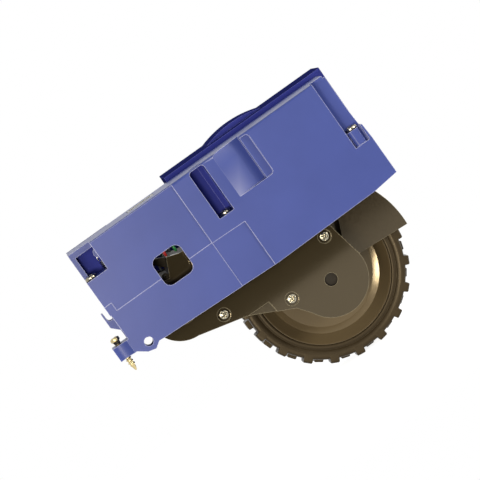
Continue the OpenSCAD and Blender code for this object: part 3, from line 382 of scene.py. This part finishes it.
# %% [markdown]
# The gearbox, the guard, the wheel's rim and the tyre are dark brown, and in the photo their gloss is
# brownish too. A plastic's gloss has the lamp's own colour, so warmer lamps could give it, but they
# would turn the blue housing grey. The specular tint warms the gloss of these pieces alone. The gearbox
# cover is nearly polished, while the case behind it is rough, because it shows through the window and
# has to stay dark there.

# %% Finishes of the brown pieces
WARM = (1.0, 0.83, 0.58)
finishes.update({
    # The edge colours of the gearbox cover and the guard are painted highlights.
    "gearbox_brown": finish("gearbox_moulding", srgb(52, 45, 31), 0.07, drift=0.05, grain=0.2 * MICRON,
                            specular=1.0, tint=WARM, edge=srgb(150, 142, 118)),
    "gearbox_inner_brown": finish("case_moulding", srgb(46, 39, 27), 0.50, drift=0.05, grain=4 * MICRON,
                                  specular=0.1),
    "guard_black": finish("guard_moulding", srgb(46, 39, 27), 0.13, drift=0.05, grain=0.6 * MICRON,
                          specular=1.0, tint=WARM, edge=srgb(130, 122, 100)),
    "hub_brown": finish("rim_moulding", srgb(94, 81, 59), 0.16, drift=0.05, grain=0.6 * MICRON, specular=0.7,
                        tint=WARM),
    "cap_brown": finish("cap_moulding", srgb(50, 43, 32), 0.36, grain=8 * MICRON, grain_size=0.3 * MM),
    "tyre_rubber": finish("tyre_rubber", srgb(50, 41, 27), 0.36, drift=0.10, grain=14 * MICRON,
                          grain_size=0.45 * MM, specular=0.3, tint=WARM),
})
print(len(finishes), "finishes so far")

# %% [markdown]
# Metal has no colour of its own but what it mirrors, tinted by the base colour, so its metallic value is
# one. Zinc plate drifts in tone. A drawn can, a shaft and a stamped strip get noise that is stretched
# along one axis, which reads as the streaks of the tool.

# %% Finishes of the metal pieces
finishes.update({
    "screw_steel": finish("zinc_plate", srgb(158, 152, 134), 0.16, 1.0, drift=0.10, grain=1 * MICRON),
    "screw_yellow": finish("yellow_zinc_plate", srgb(206, 188, 140), 0.25, 1.0, drift=0.14, grain=3 * MICRON),
    "bush_bronze": finish("sintered_bronze", srgb(176, 142, 94), 0.42, 1.0, drift=0.12, grain=6 * MICRON),
    "spring_steel": finish("drawn_wire", srgb(190, 190, 192), 0.28, 1.0),
    "contact_metal": finish("tinned_contact", srgb(222, 204, 150), 0.24, 1.0),
    "lever_steel": finish("stamped_strip", srgb(200, 200, 200), 0.25, 1.0, streak=(1, 1, 0.08)),
    "bearing_steel": finish("ground_ring", srgb(200, 200, 202), 0.22, 1.0),
    "axle_steel": finish("blackened_shaft", srgb(44, 41, 37), 0.42, 1.0, streak=(1, 0.1, 1)),
    "motor_steel": finish("drawn_can", srgb(186, 186, 188), 0.30, 1.0, streak=(1, 0.06, 1)),
    "pinion_brass": finish("hobbed_brass", srgb(206, 172, 104), 0.24, 1.0),
})
print(len(finishes), "finishes so far")

# %% [markdown]
# The rest is small plastic: the switch, the socket, the motor's cap, the encoder board, the gears and
# the wires' insulation. They differ in colour, and the board has a thin clear coat for its solder mask.

# %% Finishes of the switch, socket, board, gears and wires
finishes.update({
    "black_plastic": finish("black_moulding", srgb(40, 40, 40), 0.42, grain=7 * MICRON),
    "button_red": finish("red_button", srgb(168, 44, 34), 0.40, grain=5 * MICRON),
    "socket_white": finish("white_nylon", srgb(226, 224, 212), 0.44, grain=6 * MICRON),
    "motor_cap_ivory": finish("ivory_cap", srgb(206, 202, 186), 0.42, grain=6 * MICRON),
    "board_green": finish("solder_mask", srgb(30, 92, 56), 0.30, coat=0.3),
    "gear_white": finish("acetal_gear", srgb(222, 218, 204), 0.34, drift=0.03),
    "insulation_red": finish("red_insulation", srgb(176, 34, 28), 0.38),
    "insulation_black": finish("black_insulation", srgb(30, 30, 30), 0.38),
    "insulation_green": finish("green_insulation", srgb(30, 120, 60), 0.38),
    "insulation_white": finish("white_insulation", srgb(216, 216, 208), 0.38),
})
print(len(finishes), "finishes in all")

# %% [markdown]
# The record names a material slot for each CAD node. One loop gives every node the finish of its slot,
# so a finish is mended in one place for all pieces that share it.

# %% Put the finishes on the CAD nodes
slot_of = {part["node"]: part["material_slot"] for part in frame["record"]["subparts"]}
for name, obj in nodes.items():
    obj.data.materials.clear()
    obj.data.materials.append(finishes[slot_of[name]])
print(len(nodes), "nodes share", len(set(slot_of.values())), "slots")

# %% [markdown]
# Most meshes that are made here start as a bmesh, Blender's editable form. One function turns it into an
# object, so no piece is left without a material or with a face that looks inwards. Small filling pieces
# are blocks, which two corners describe best.

# %% Makers for pieces and blocks
def piece(name, bm, material, smooth=True):
    """Turns a bmesh into an object of one material, with its faces turned outwards."""
    bmesh.ops.recalc_face_normals(bm, faces=bm.faces)
    mesh = bpy.data.meshes.new(name)
    bm.to_mesh(mesh)
    bm.free()
    mesh.materials.append(material)
    for poly in mesh.polygons:
        poly.use_smooth = smooth
    obj = bpy.data.objects.new(name, mesh)
    scene.collection.objects.link(obj)
    return obj


def blocks(name, boxes, material):
    """One piece made of small blocks, given as (low, high) corners in millimetres."""
    bm = bmesh.new()
    for low, high in boxes:
        for v in bmesh.ops.create_cube(bm, size=1.0)["verts"]:
            v.co = [(low[i] + (v.co[i] + 0.5) * (high[i] - low[i])) * MM for i in range(3)]
    return piece(name, bm, material, smooth=False)


print(len(bpy.data.meshes), "meshes before the first new piece")

# %% [markdown]
# In a few places the mouldings look otherwise than in the photo. The front wall dips by 0.9 mm where the
# photo has a flat panel that ends in a crisp step. The left and middle wells are dark shafts in the
# photo, with a step down the middle one's back. A slit between the deck's top and the arch's hump lets
# the background through. CAD could be changed, but blocks that fill these places are enough for the
# looks. The panel's faces lie two microns under the wall's own, so they show in the dip alone.

# %% Fill the front panel and line the wells
sunk_panel = ((43, 0.502, -1.5), (56.3, 1.5, 15.9))
flat_wall = ((56.3, 0.002, -1.5), (61.5, 1.5, 17.5))
panel = blocks("front_panel_fill", [sunk_panel, flat_wall], finishes["housing_blue"])
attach(panel, "base")
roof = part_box("front_housing")[1].z / MM
left_well = ((-4.6, 13.4, 30), (7, 14.4, roof - 1))
middle_well = ((49.05, 7.75, roof - 21.5), (53.5, 8.6, roof - 0.3))
middle_well_step = ((53.5, 7.1, roof - 21.5), (55.55, 8.6, roof - 0.3))
deck_slit = ((70, 36.02, 45.4), (82, 37, 46.6))
# The liner takes the darker blue, which is the housing's blue with painted shade.
liner = blocks("well_liner", [left_well, middle_well, middle_well_step, deck_slit],
               finishes["housing_dark_blue"])
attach(liner, "base")
print("roof at", round(roof, 1), "mm; lower panel filled, wells lined")

# %% [markdown]
# A mould never gives a knife edge, and a thin bright line runs along each edge in the photo. The edges
# could be rounded in CAD, at the price of a heavy solid. Here each moulding gets a stack of modifiers:
# weld the corners, join the flat triangles again, round the edges a little, and weight the normals so
# that flat faces stay flat.

# %% Ease the mouldings' edges
EDGE = 0.28 * MM
WELD = 2 * MICRON
SHARP = math.radians(32)


def ease(name, width):
    """Rounds the sharp edges of a CAD node by width metres."""
    obj = nodes[name]
    weld = obj.modifiers.new("weld", "WELD")
    weld.merge_threshold = WELD
    flat = obj.modifiers.new("flat", "DECIMATE")
    flat.decimate_type = "DISSOLVE"
    flat.angle_limit = math.radians(0.4)
    edge = obj.modifiers.new("edge", "BEVEL")
    edge.width = width
    edge.segments = 2
    edge.limit_method = "ANGLE"
    edge.angle_limit = SHARP
    edge.miter_outer = "MITER_ARC"
    edge.use_clamp_overlap = True
    for poly in obj.data.polygons:
        poly.use_smooth = True
    normals = obj.modifiers.new("normals", "WEIGHTED_NORMAL")
    normals.keep_sharp = False


for name in ["front_housing", "rear_housing", "gearbox_cover", "gearbox_case", "wheel_guard"]:
    ease(name, EDGE)
print("edges eased by", round(EDGE / MM, 2), "mm")

# %% [markdown]
# Round pieces are best turned. Blender has a spin tool and a screw modifier for that. A function of its
# own is as short, and it closes the last ring on the first one: a closed list of radius and depth pairs
# becomes rings of vertices, and neighbouring rings are joined by faces.

# %% Lathe, and the wheel's place
def lathe(name, profile, steps, centre, material):
    """Turns a closed profile of (radius, y) pairs about the Y axis through centre."""
    bm = bmesh.new()
    rings = []
    for r, y in profile:
        rings.append([bm.verts.new((centre.x + r * math.cos(2 * math.pi * k / steps), y,
                                    centre.z + r * math.sin(2 * math.pi * k / steps))) for k in range(steps)])
    for a, b in zip(rings, rings[1:] + rings[:1]):
        for k in range(steps):
            bm.faces.new((a[k], a[(k + 1) % steps], b[(k + 1) % steps], b[k]))
    return piece(name, bm, material)


tyre_low, tyre_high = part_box("tyre")
axle = (tyre_low + tyre_high) / 2
tread_r = (tyre_high.z - tyre_low.z) / 2
near_y, mid_y, far_y = tyre_low.y, axle.y, tyre_high.y
print("wheel", round(2 * tread_r / MM, 1), "mm, axle at", [round(v / MM, 2) for v in axle])

# %% [markdown]
# The tyre is moulded rubber with a bead on the rim and a shallow groove round its middle. It could be
# bent from a strip, but then its ends would have to meet. The lathe takes its profile: up one side, over
# the tread with its groove, and down the other side, which is the first one mirrored.

# %% Tyre carcass
LUG_H = 1.8 * MM
BEAD_DEEP = 7.0 * MM
GROOVE_DEEP = 0.5 * MM
CARCASS_STEPS = 160
base_r = tread_r - LUG_H
bead_r = base_r - BEAD_DEEP
# Radius above the bead and depth from the tyre's side, in mm
side = [(0.0, 1.2), (0.9, 1.2), (0.9, 0.6), (1.15, 0.2), (1.5, 0.02), (2.6, 0.02), (2.8, 0.3), (3.0, 0.4),
        (3.2, 0.3), (3.4, 0.02), (6.0, 0.02), (6.5, 0.2), (6.85, 0.6), (7.0, 1.2)]
profile = [(bead_r + r * MM, near_y + y * MM) for r, y in side]
profile += [(base_r, mid_y - 0.5 * MM), (base_r - GROOVE_DEEP, mid_y - 0.25 * MM),
            (base_r - GROOVE_DEEP, mid_y + 0.25 * MM), (base_r, mid_y + 0.5 * MM)]
profile += [(bead_r + r * MM, far_y - y * MM) for r, y in reversed(side)]
tyre = lathe("tyre_carcass", profile, CARCASS_STEPS, axle, finishes["tyre_rubber"])
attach(tyre, "wheel")
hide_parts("tyre")
print("carcass:", len(tyre.data.polygons), "faces")

# %% [markdown]
# Two rows of lugs, half a step apart, wrap over the tyre's shoulders. An array of one lug would do for
# one row. A function that places a lug at any angle does both rows, and it keeps the lugs on the
# carcass's real radius. Each lug is a section with drafted flanks, drawn through four stations of which
# the last ones turn down the side wall. A small bevel softens it, as rubber moulds do.

# %% Tyre lugs
LUGS = 20
LUG_TOP = LUG_H / MM
LUG_SOFT = 0.22 * MM
ROW_GAP = 1.2 * MM
ROW_STARTS = (0.44, 0.94)  # in steps from the X axis
# Across the lug and above the carcass, in mm
lug_section = [(-2.05, -1.0), (-1.95, 0.0), (-1.75, LUG_TOP - 0.25), (-1.5, LUG_TOP), (1.5, LUG_TOP),
               (1.75, LUG_TOP - 0.25), (1.95, 0.0), (2.05, -1.0)]


def lug(bm, angle, y0, y1, shoulder):
    """One lug from y0 to y1 metres; its end at the shoulder side turns down the tyre's side wall."""
    inner, outer = (y1, y0) if shoulder < 0 else (y0, y1)
    stations = [(inner, 0.0), (outer - shoulder * 1.2 * MM, 0.0), (outer - shoulder * 0.35 * MM, -0.25 * MM),
                (outer, -1.1 * MM)]
    rows = []
    for y, drop in stations:
        row = []
        for across, height in lug_section:
            r = base_r + height * MM + drop
            a = angle + across * MM / base_r
            row.append(bm.verts.new((axle.x + r * math.cos(a), y, axle.z + r * math.sin(a))))
        rows.append(row)
    for near, far in zip(rows, rows[1:]):
        for k in range(len(lug_section)):
            j = (k + 1) % len(lug_section)
            bm.faces.new((near[k], near[j], far[j], far[k]))
    bm.faces.new(rows[0])
    bm.faces.new(list(reversed(rows[-1])))


bm = bmesh.new()
step = 2 * math.pi / LUGS
for i in range(LUGS):
    lug(bm, -step * (i + ROW_STARTS[0]), near_y, mid_y - ROW_GAP / 2, -1)
    lug(bm, -step * (i + ROW_STARTS[1]), mid_y + ROW_GAP / 2, far_y, 1)
lugs = piece("tyre_lugs", bm, finishes["tyre_rubber"])
soften = lugs.modifiers.new("soften", "BEVEL")
soften.width = LUG_SOFT
soften.segments = 2
soften.limit_method = "ANGLE"
soften.angle_limit = math.radians(30)
lugs.modifiers.new("normals", "WEIGHTED_NORMAL")
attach(lugs, "wheel")
print(LUGS * 2, "lugs")

# %% [markdown]
# Screws are the smallest bright things in the photo, and they show what holds what. Each head has a
# cross recess for the driver. It could be cut with a boolean, but that often leaves untidy faces. Here a
# function tells how deep the recess is at any point of the head, and the head's points sink by that
# much.

# %% The driver's cross
ARM, REACH, CENTRE = 0.19, 0.70, 0.3  # the cross's half width, reach and middle, as shares of the radius


def cross_depth(x, y, r):
    """How deep the driver's recess is at a point of the head, as a share of its full depth."""
    arm = ARM * r
    reach = REACH * r
    ax, ay = abs(x), abs(y)
    slot = min(max(0.0, 1 - (ay / arm) ** 4) * max(0.0, 1 - (ax / reach) ** 4) ** 0.5, 1.0)
    other = min(max(0.0, 1 - (ax / arm) ** 4) * max(0.0, 1 - (ay / reach) ** 4) ** 0.5, 1.0)
    centre = max(0.0, 1 - (math.hypot(x, y) / (CENTRE * r)) ** 4)
    return max(slot, other, centre)


print("recess at the head's centre, half way and at its rim:",
      [round(cross_depth(share, 0, 1), 2) for share in (0, 0.5, 1)])

# %% [markdown]
# The shank has a rolled thread. A profile could be swept along a helix, but it is hard to join to the
# head. Here the whole screw, from the recess to the tip, is one stack of rings. Where there is a thread,
# the radius changes around each ring, and the crest moves on from ring to ring, so it climbs one pitch a
# turn.

# %% Screw maker
STEPS = 72
RECESS_SHARES = (0.06, 0.13, 0.20, 0.27, 0.34, 0.41, 0.48, 0.55, 0.62, 0.69)
RIM_SHARES = (0.80, 0.90, 0.97)
RECESS_DEEP = 0.8  # of the head's height
CROWN = 0.3  # how much of its height the head's top falls to the rim
RINGS_A_TURN = 6
CORE, CREST = 0.66, 0.34  # the thread's root and its height, as shares of the shank's radius
FLANK = 0.22  # the thread's half width, as a share of a turn
FADE_IN, FADE_OUT = 4, 8  # rings over which the thread grows and tapers


def screw(name, seat, axis, head_r, head_t, shank_r, length, pitch, turn, material):
    """A pan head screw: seat is where the head rests, axis points from the tip to the head."""
    bm = bmesh.new()
    up = Vector(axis).normalized()
    turned = up.to_track_quat("Z", "Y").to_matrix() @ Matrix.Rotation(turn, 3, "Z")
    rings = []

    def ring(z, radius_at, cut=0.0):
        """Adds one ring; radius_at gives the radius at each step."""
        row = []
        for k in range(STEPS):
            a = 2 * math.pi * k / STEPS
            r = radius_at(k)
            x, y = r * math.cos(a), r * math.sin(a)
            deep = cut * cross_depth(x, y, head_r) if cut else 0.0
            row.append(bm.verts.new(turned @ Vector((x, y, z - deep)) + Vector(seat)))
        rings.append(row)

    def round_ring(r, z, cut=0.0):
        """Adds one ring of an even radius."""
        ring(z, lambda k: r, cut)

    for share in RECESS_SHARES:
        round_ring(head_r * share, head_t * (1 - CROWN * share ** 2), RECESS_DEEP * head_t)
    for share in RIM_SHARES:
        round_ring(head_r * share, head_t * (1 - CROWN * share ** 2 - 0.25 * max(0.0, share - 0.85)))
    round_ring(head_r, head_t * 0.55)
    round_ring(head_r, head_t * 0.12)
    round_ring(head_r * 0.97, 0.0)
    round_ring(shank_r * 1.02, 0.0)
    if pitch:
        plain = min(2.2 * pitch, 0.25 * length)
        round_ring(shank_r * 0.8, -plain * 0.5)
        round_ring(shank_r * 0.8, -plain)
        count = int((length - plain - 0.6 * pitch) / pitch) * RINGS_A_TURN
        for i in range(count + 1):
            taper = min(1.0, (count - i) / FADE_OUT + 0.35)
            grown = min(1.0, i / FADE_IN) * taper
            thin = min(1.0, 0.62 + 0.38 * taper)

            def thread_radius(k):
                """The thread's radius on this ring."""
                phase = (k / STEPS + i / RINGS_A_TURN) % 1.0
                crest = max(0.0, 1 - abs(phase - 0.5) / FLANK)
                return shank_r * (CORE + CREST * crest * grown) * thin

            ring(-plain - i * pitch / RINGS_A_TURN, thread_radius)
        round_ring(shank_r * 0.28, -length + 0.25 * pitch)
        round_ring(shank_r * 0.06, -length)
    else:
        round_ring(shank_r, -length * 0.5)
        round_ring(shank_r, -length)
    for a, b in zip(rings, rings[1:]):
        for k in range(STEPS):
            bm.faces.new((a[k], a[(k + 1) % STEPS], b[(k + 1) % STEPS], b[k]))
    bm.faces.new(rings[0])
    bm.faces.new(list(reversed(rings[-1])))
    return piece(name, bm, material)


print("a screw has", STEPS, "points a ring and", RINGS_A_TURN, "rings a turn of its thread")

# %% [markdown]
# CAD holds the screws as plain shapes, several in one node. Their places could be typed in again, but
# then they would drift apart from CAD. So each node's mesh is taken apart into its loose shells, and
# every shell's box tells where a screw stands and how long it is.

# %% Find the screws in their CAD nodes
def parts_of(name):
    """Boxes of the loose shells of a CAD node, as (low, high) pairs, sorted along X."""
    bm = bmesh.new()
    bm.from_mesh(nodes[name].data)
    bmesh.ops.remove_doubles(bm, verts=bm.verts, dist=WELD)
    seen, boxes = set(), []
    for v in bm.verts:
        if v in seen:
            continue
        stack, shell = [v], []
        seen.add(v)
        while stack:
            w = stack.pop()
            shell.append(w.co.copy())
            for e in w.link_edges:
                o = e.other_vert(w)
                if o not in seen:
                    seen.add(o)
                    stack.append(o)
        low = Vector([min(c[i] for c in shell) for i in range(3)])
        high = Vector([max(c[i] for c in shell) for i in range(3)])
        boxes.append((low, high))
    bm.free()
    return sorted(boxes, key=lambda b: b[0].x)


for name in ("mounting_screws", "bracket_screw", "cover_screws"):
    print(name, len(parts_of(name)))

# %% [markdown]
# Three mounting screws stand in the wells, and a yellow one on the side bracket. All four stand free, so
# they get a thread. They could be copies of one mesh, but each head is turned a little further than the
# last, as screws end up by chance.

# %% Screws of the housing
HEAD_R, HEAD_T, SHANK_R = 2.4 * MM, 1.7 * MM, 1.45 * MM
MOUNTING_PITCH, BRACKET_PITCH = 0.95 * MM, 1.3 * MM
BRACKET_HEAD_R = 1.9 * MM
for i, (low, high) in enumerate(parts_of("mounting_screws")):
    middle = (low + high) / 2
    seat = Vector((middle.x, middle.y, high.z - HEAD_T))
    s = screw(f"mounting_screw_{i}", seat, (0, 0, 1), HEAD_R, HEAD_T, SHANK_R, seat.z - low.z,
              MOUNTING_PITCH, 0.5 + i, finishes["screw_steel"])
    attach(s, "base")
    if i == 0:
        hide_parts("mounting_screws")
(low, high), = parts_of("bracket_screw")
middle = (low + high) / 2
seat = Vector((middle.x, middle.y, high.z - HEAD_T))
s = screw("bracket_screw_threaded", seat, (0, 0, 1), BRACKET_HEAD_R, HEAD_T, SHANK_R, seat.z - low.z,
          BRACKET_PITCH, 0.3, finishes["screw_yellow"])
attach(s, "base")
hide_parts("bracket_screw")

# %% [markdown]
# Four screws hold the gearbox cover on its case, three of them in sight. They are seen by their heads
# alone, so they need no thread, and the same maker gives them a plain shank. The screws of the wheel,
# the motor and the two mouldings keep their CAD shape.

# %% Screws of the gearbox cover
COVER_HEAD_R, COVER_HEAD_T, COVER_SHANK_R = 1.85 * MM, 1.1 * MM, 1.0 * MM
for i, (low, high) in enumerate(parts_of("cover_screws")):
    middle = (low + high) / 2
    seat = Vector((middle.x, low.y + COVER_HEAD_T, middle.z))
    s = screw(f"cover_screw_{i}", seat, (0, -1, 0), COVER_HEAD_R, COVER_HEAD_T, COVER_SHANK_R,
              high.y - seat.y, 0.0, 0.4 + 0.7 * i, finishes["screw_steel"])
    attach(s, "arm")
    if i == 0:
        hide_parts("cover_screws")

# %% [markdown]
# A wire and a spring are the same to a modeller: a round section that follows a line. A curve with a bevel
# depth does that in one step. The result is turned into a mesh.

# %% A maker for cords
CORD_ORDER = 3


def tube(name, points, radius, material, roundness=3, fine=6):
    """A smooth round cord along points, in metres, as a mesh; fine is its steps from point to point."""
    curve = bpy.data.curves.new(name, "CURVE")
    curve.dimensions = "3D"
    spline = curve.splines.new("NURBS")
    spline.points.add(len(points) - 1)
    for p, target in zip(points, spline.points):
        target.co = (*p, 1)
    spline.order_u = CORD_ORDER
    spline.use_endpoint_u = True
    spline.resolution_u = fine
    curve.bevel_depth = radius
    curve.bevel_resolution = roundness
    curve.use_fill_caps = True
    holder = bpy.data.objects.new(name + "_curve", curve)
    scene.collection.objects.link(holder)
    mesh = bpy.data.meshes.new_from_object(holder)
    bpy.data.objects.remove(holder)
    mesh.name = name
    mesh.materials.clear()
    mesh.materials.append(material)
    for poly in mesh.polygons:
        poly.use_smooth = True
    obj = bpy.data.objects.new(name, mesh)
    scene.collection.objects.link(obj)
    return obj


print("cords are curves of order", CORD_ORDER)

# %% [markdown]
# The loom's wires are soft. They leave the socket's pins, hang in the window as a slack loop and go over the
# gearbox to the motor, which swings with the arm. A cord could be simulated, but a way through chosen points
# is the same each time and keeps clear of its neighbours.

# %% Wires
WIRE_R = 0.58 * MM
STEPS_A_SPAN = 4


def on_route(p, i, t):
    """A point on the smooth curve through the route's points, as the CAD source draws it."""
    a, b, c, d = (Vector(p[min(max(k, 0), len(p) - 1)]) for k in (i - 1, i, i + 1, i + 2))
    bend = (2 * a - 5 * b + 4 * c - d) * t * t + (3 * b - a - 3 * c + d) * t * t * t
    return 0.5 * (2 * b + (c - a) * t + bend)


socket_low, socket_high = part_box("connector_socket")
top = socket_low.z / MM - 2.3
over = socket_high.z / MM - 14.7
# The way from a pin of the socket, round the loop in the window, to the motor's end cap, in mm
routes = {
    "red": [(25, 14, top), (24.8, 10.8, 28.9), (24.4, 6.8, 26.3), (24.4, 4.8, 24), (24.4, 6.7, 22.4),
            (24.4, 9, 24.8), (24.4, 12.4, 27.2), (24, 17, over), (22.8, 25, over), (20.4, 33, 28),
            (18.4, 40, 20), (17.3, 45.2, 15.7)],
    "black": [(27, 14, top), (26.8, 10.8, 28.9), (26.4, 6.8, 26.6), (26.4, 4.7, 24.8), (26.4, 6.8, 23),
              (26.4, 9, 25), (26.4, 12.4, 27.2), (26, 17, over), (24.8, 25, over), (22.8, 33, 28),
              (20.9, 40, 20), (20.4, 45.2, 15.5)],
    "green": [(29, 14, top), (28.8, 10.8, 28.9), (28.6, 6.8, 26.3), (28.6, 4.5, 23.5), (28.6, 6.4, 21.9),
              (28.6, 9, 24.9), (28.6, 12.4, 27.2), (28.2, 17, over), (27, 25, over), (25.4, 33, 28),
              (23.6, 40, 20), (23.4, 45.2, 14.4)],
    "white": [(31, 14, top), (30.9, 10.8, 28.9), (30.8, 6.8, 26.8), (30.8, 4.9, 25), (30.8, 7, 23.2),
              (30.8, 9, 25.2), (30.8, 12.4, 27.2), (30.4, 17, over), (29.2, 25, over), (28, 33, 28),
              (26.3, 40, 20), (26, 45.2, 12.6)],
}
for colour, route in routes.items():
    spans = range(len(route) - 1)
    points = [on_route(route, i, k / STEPS_A_SPAN) * MM for i in spans for k in range(STEPS_A_SPAN)]
    points.append(Vector(route[-1]) * MM)
    wire = tube(f"wire_{colour}_soft", points, WIRE_R, finishes[f"insulation_{colour}"])
    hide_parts(f"wire_{colour}")
    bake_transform(wire)
print(len(routes), "wires of", 2 * WIRE_R / MM, "mm, the last one with", len(wire.data.polygons), "faces")

# %% [markdown]
# The tension spring pulls the wheel down on the floor. It is hard wire in a close coil, with a hook at each
# end that lies round a peg. A screw modifier could turn the coil but not the hooks, so the wire's middle line
# is computed for the three parts in a row and goes to the same cord maker as the wires.

# %% Suspension spring
COIL_R, HOOK_R, SPRING_WIRE_R = 2.0 * MM, 1.6 * MM, 0.4 * MM
HOOK_STEPS = 12
HOOK_TURN = 1.75 * math.pi
TURNS, PER_TURN = 26, 20
COIL_FROM_PEG = 3.0 * MM
PEG_TOP_X, PEG_LOW_X = 4.2 * MM, 4.14 * MM
spring_low, spring_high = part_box("suspension_spring")
spring_y = (spring_low.y + spring_high.y) / 2
peg_top = Vector((PEG_TOP_X, spring_y, spring_high.z - HOOK_R - SPRING_WIRE_R))
peg_low = Vector((PEG_LOW_X, spring_y, spring_low.z + HOOK_R + SPRING_WIRE_R))
line = peg_top - peg_low
up = line.normalized()
out = Vector((0, 1, 0)).cross(up).normalized()
depth = up.cross(out)


def hook(peg, first):
    """The points of a hook that lies round a peg, from the angle first on."""
    around = []
    for k in range(HOOK_STEPS + 1):
        a = first + HOOK_TURN * k / HOOK_STEPS - math.pi / 2
        around.append(peg + HOOK_R * (math.cos(a) * out + math.sin(a) * up))
    return around


coil = []
rising = line.length - 2 * COIL_FROM_PEG
for k in range(TURNS * PER_TURN + 1):
    a = 2 * math.pi * k / PER_TURN + math.pi
    rise = COIL_FROM_PEG + rising * k / (TURNS * PER_TURN)
    coil.append(peg_low + up * rise + COIL_R * (math.cos(a) * out + math.sin(a) * depth))
middle_line = hook(peg_low, -0.25 * math.pi) + coil + hook(peg_top, -0.5 * math.pi)
spring = tube("suspension_spring_coils", middle_line, SPRING_WIRE_R, finishes["spring_steel"], 2, 2)
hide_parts("suspension_spring")
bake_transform(spring)
print("spring of", TURNS, "turns,", round(line.length / MM, 1), "mm from peg to peg")
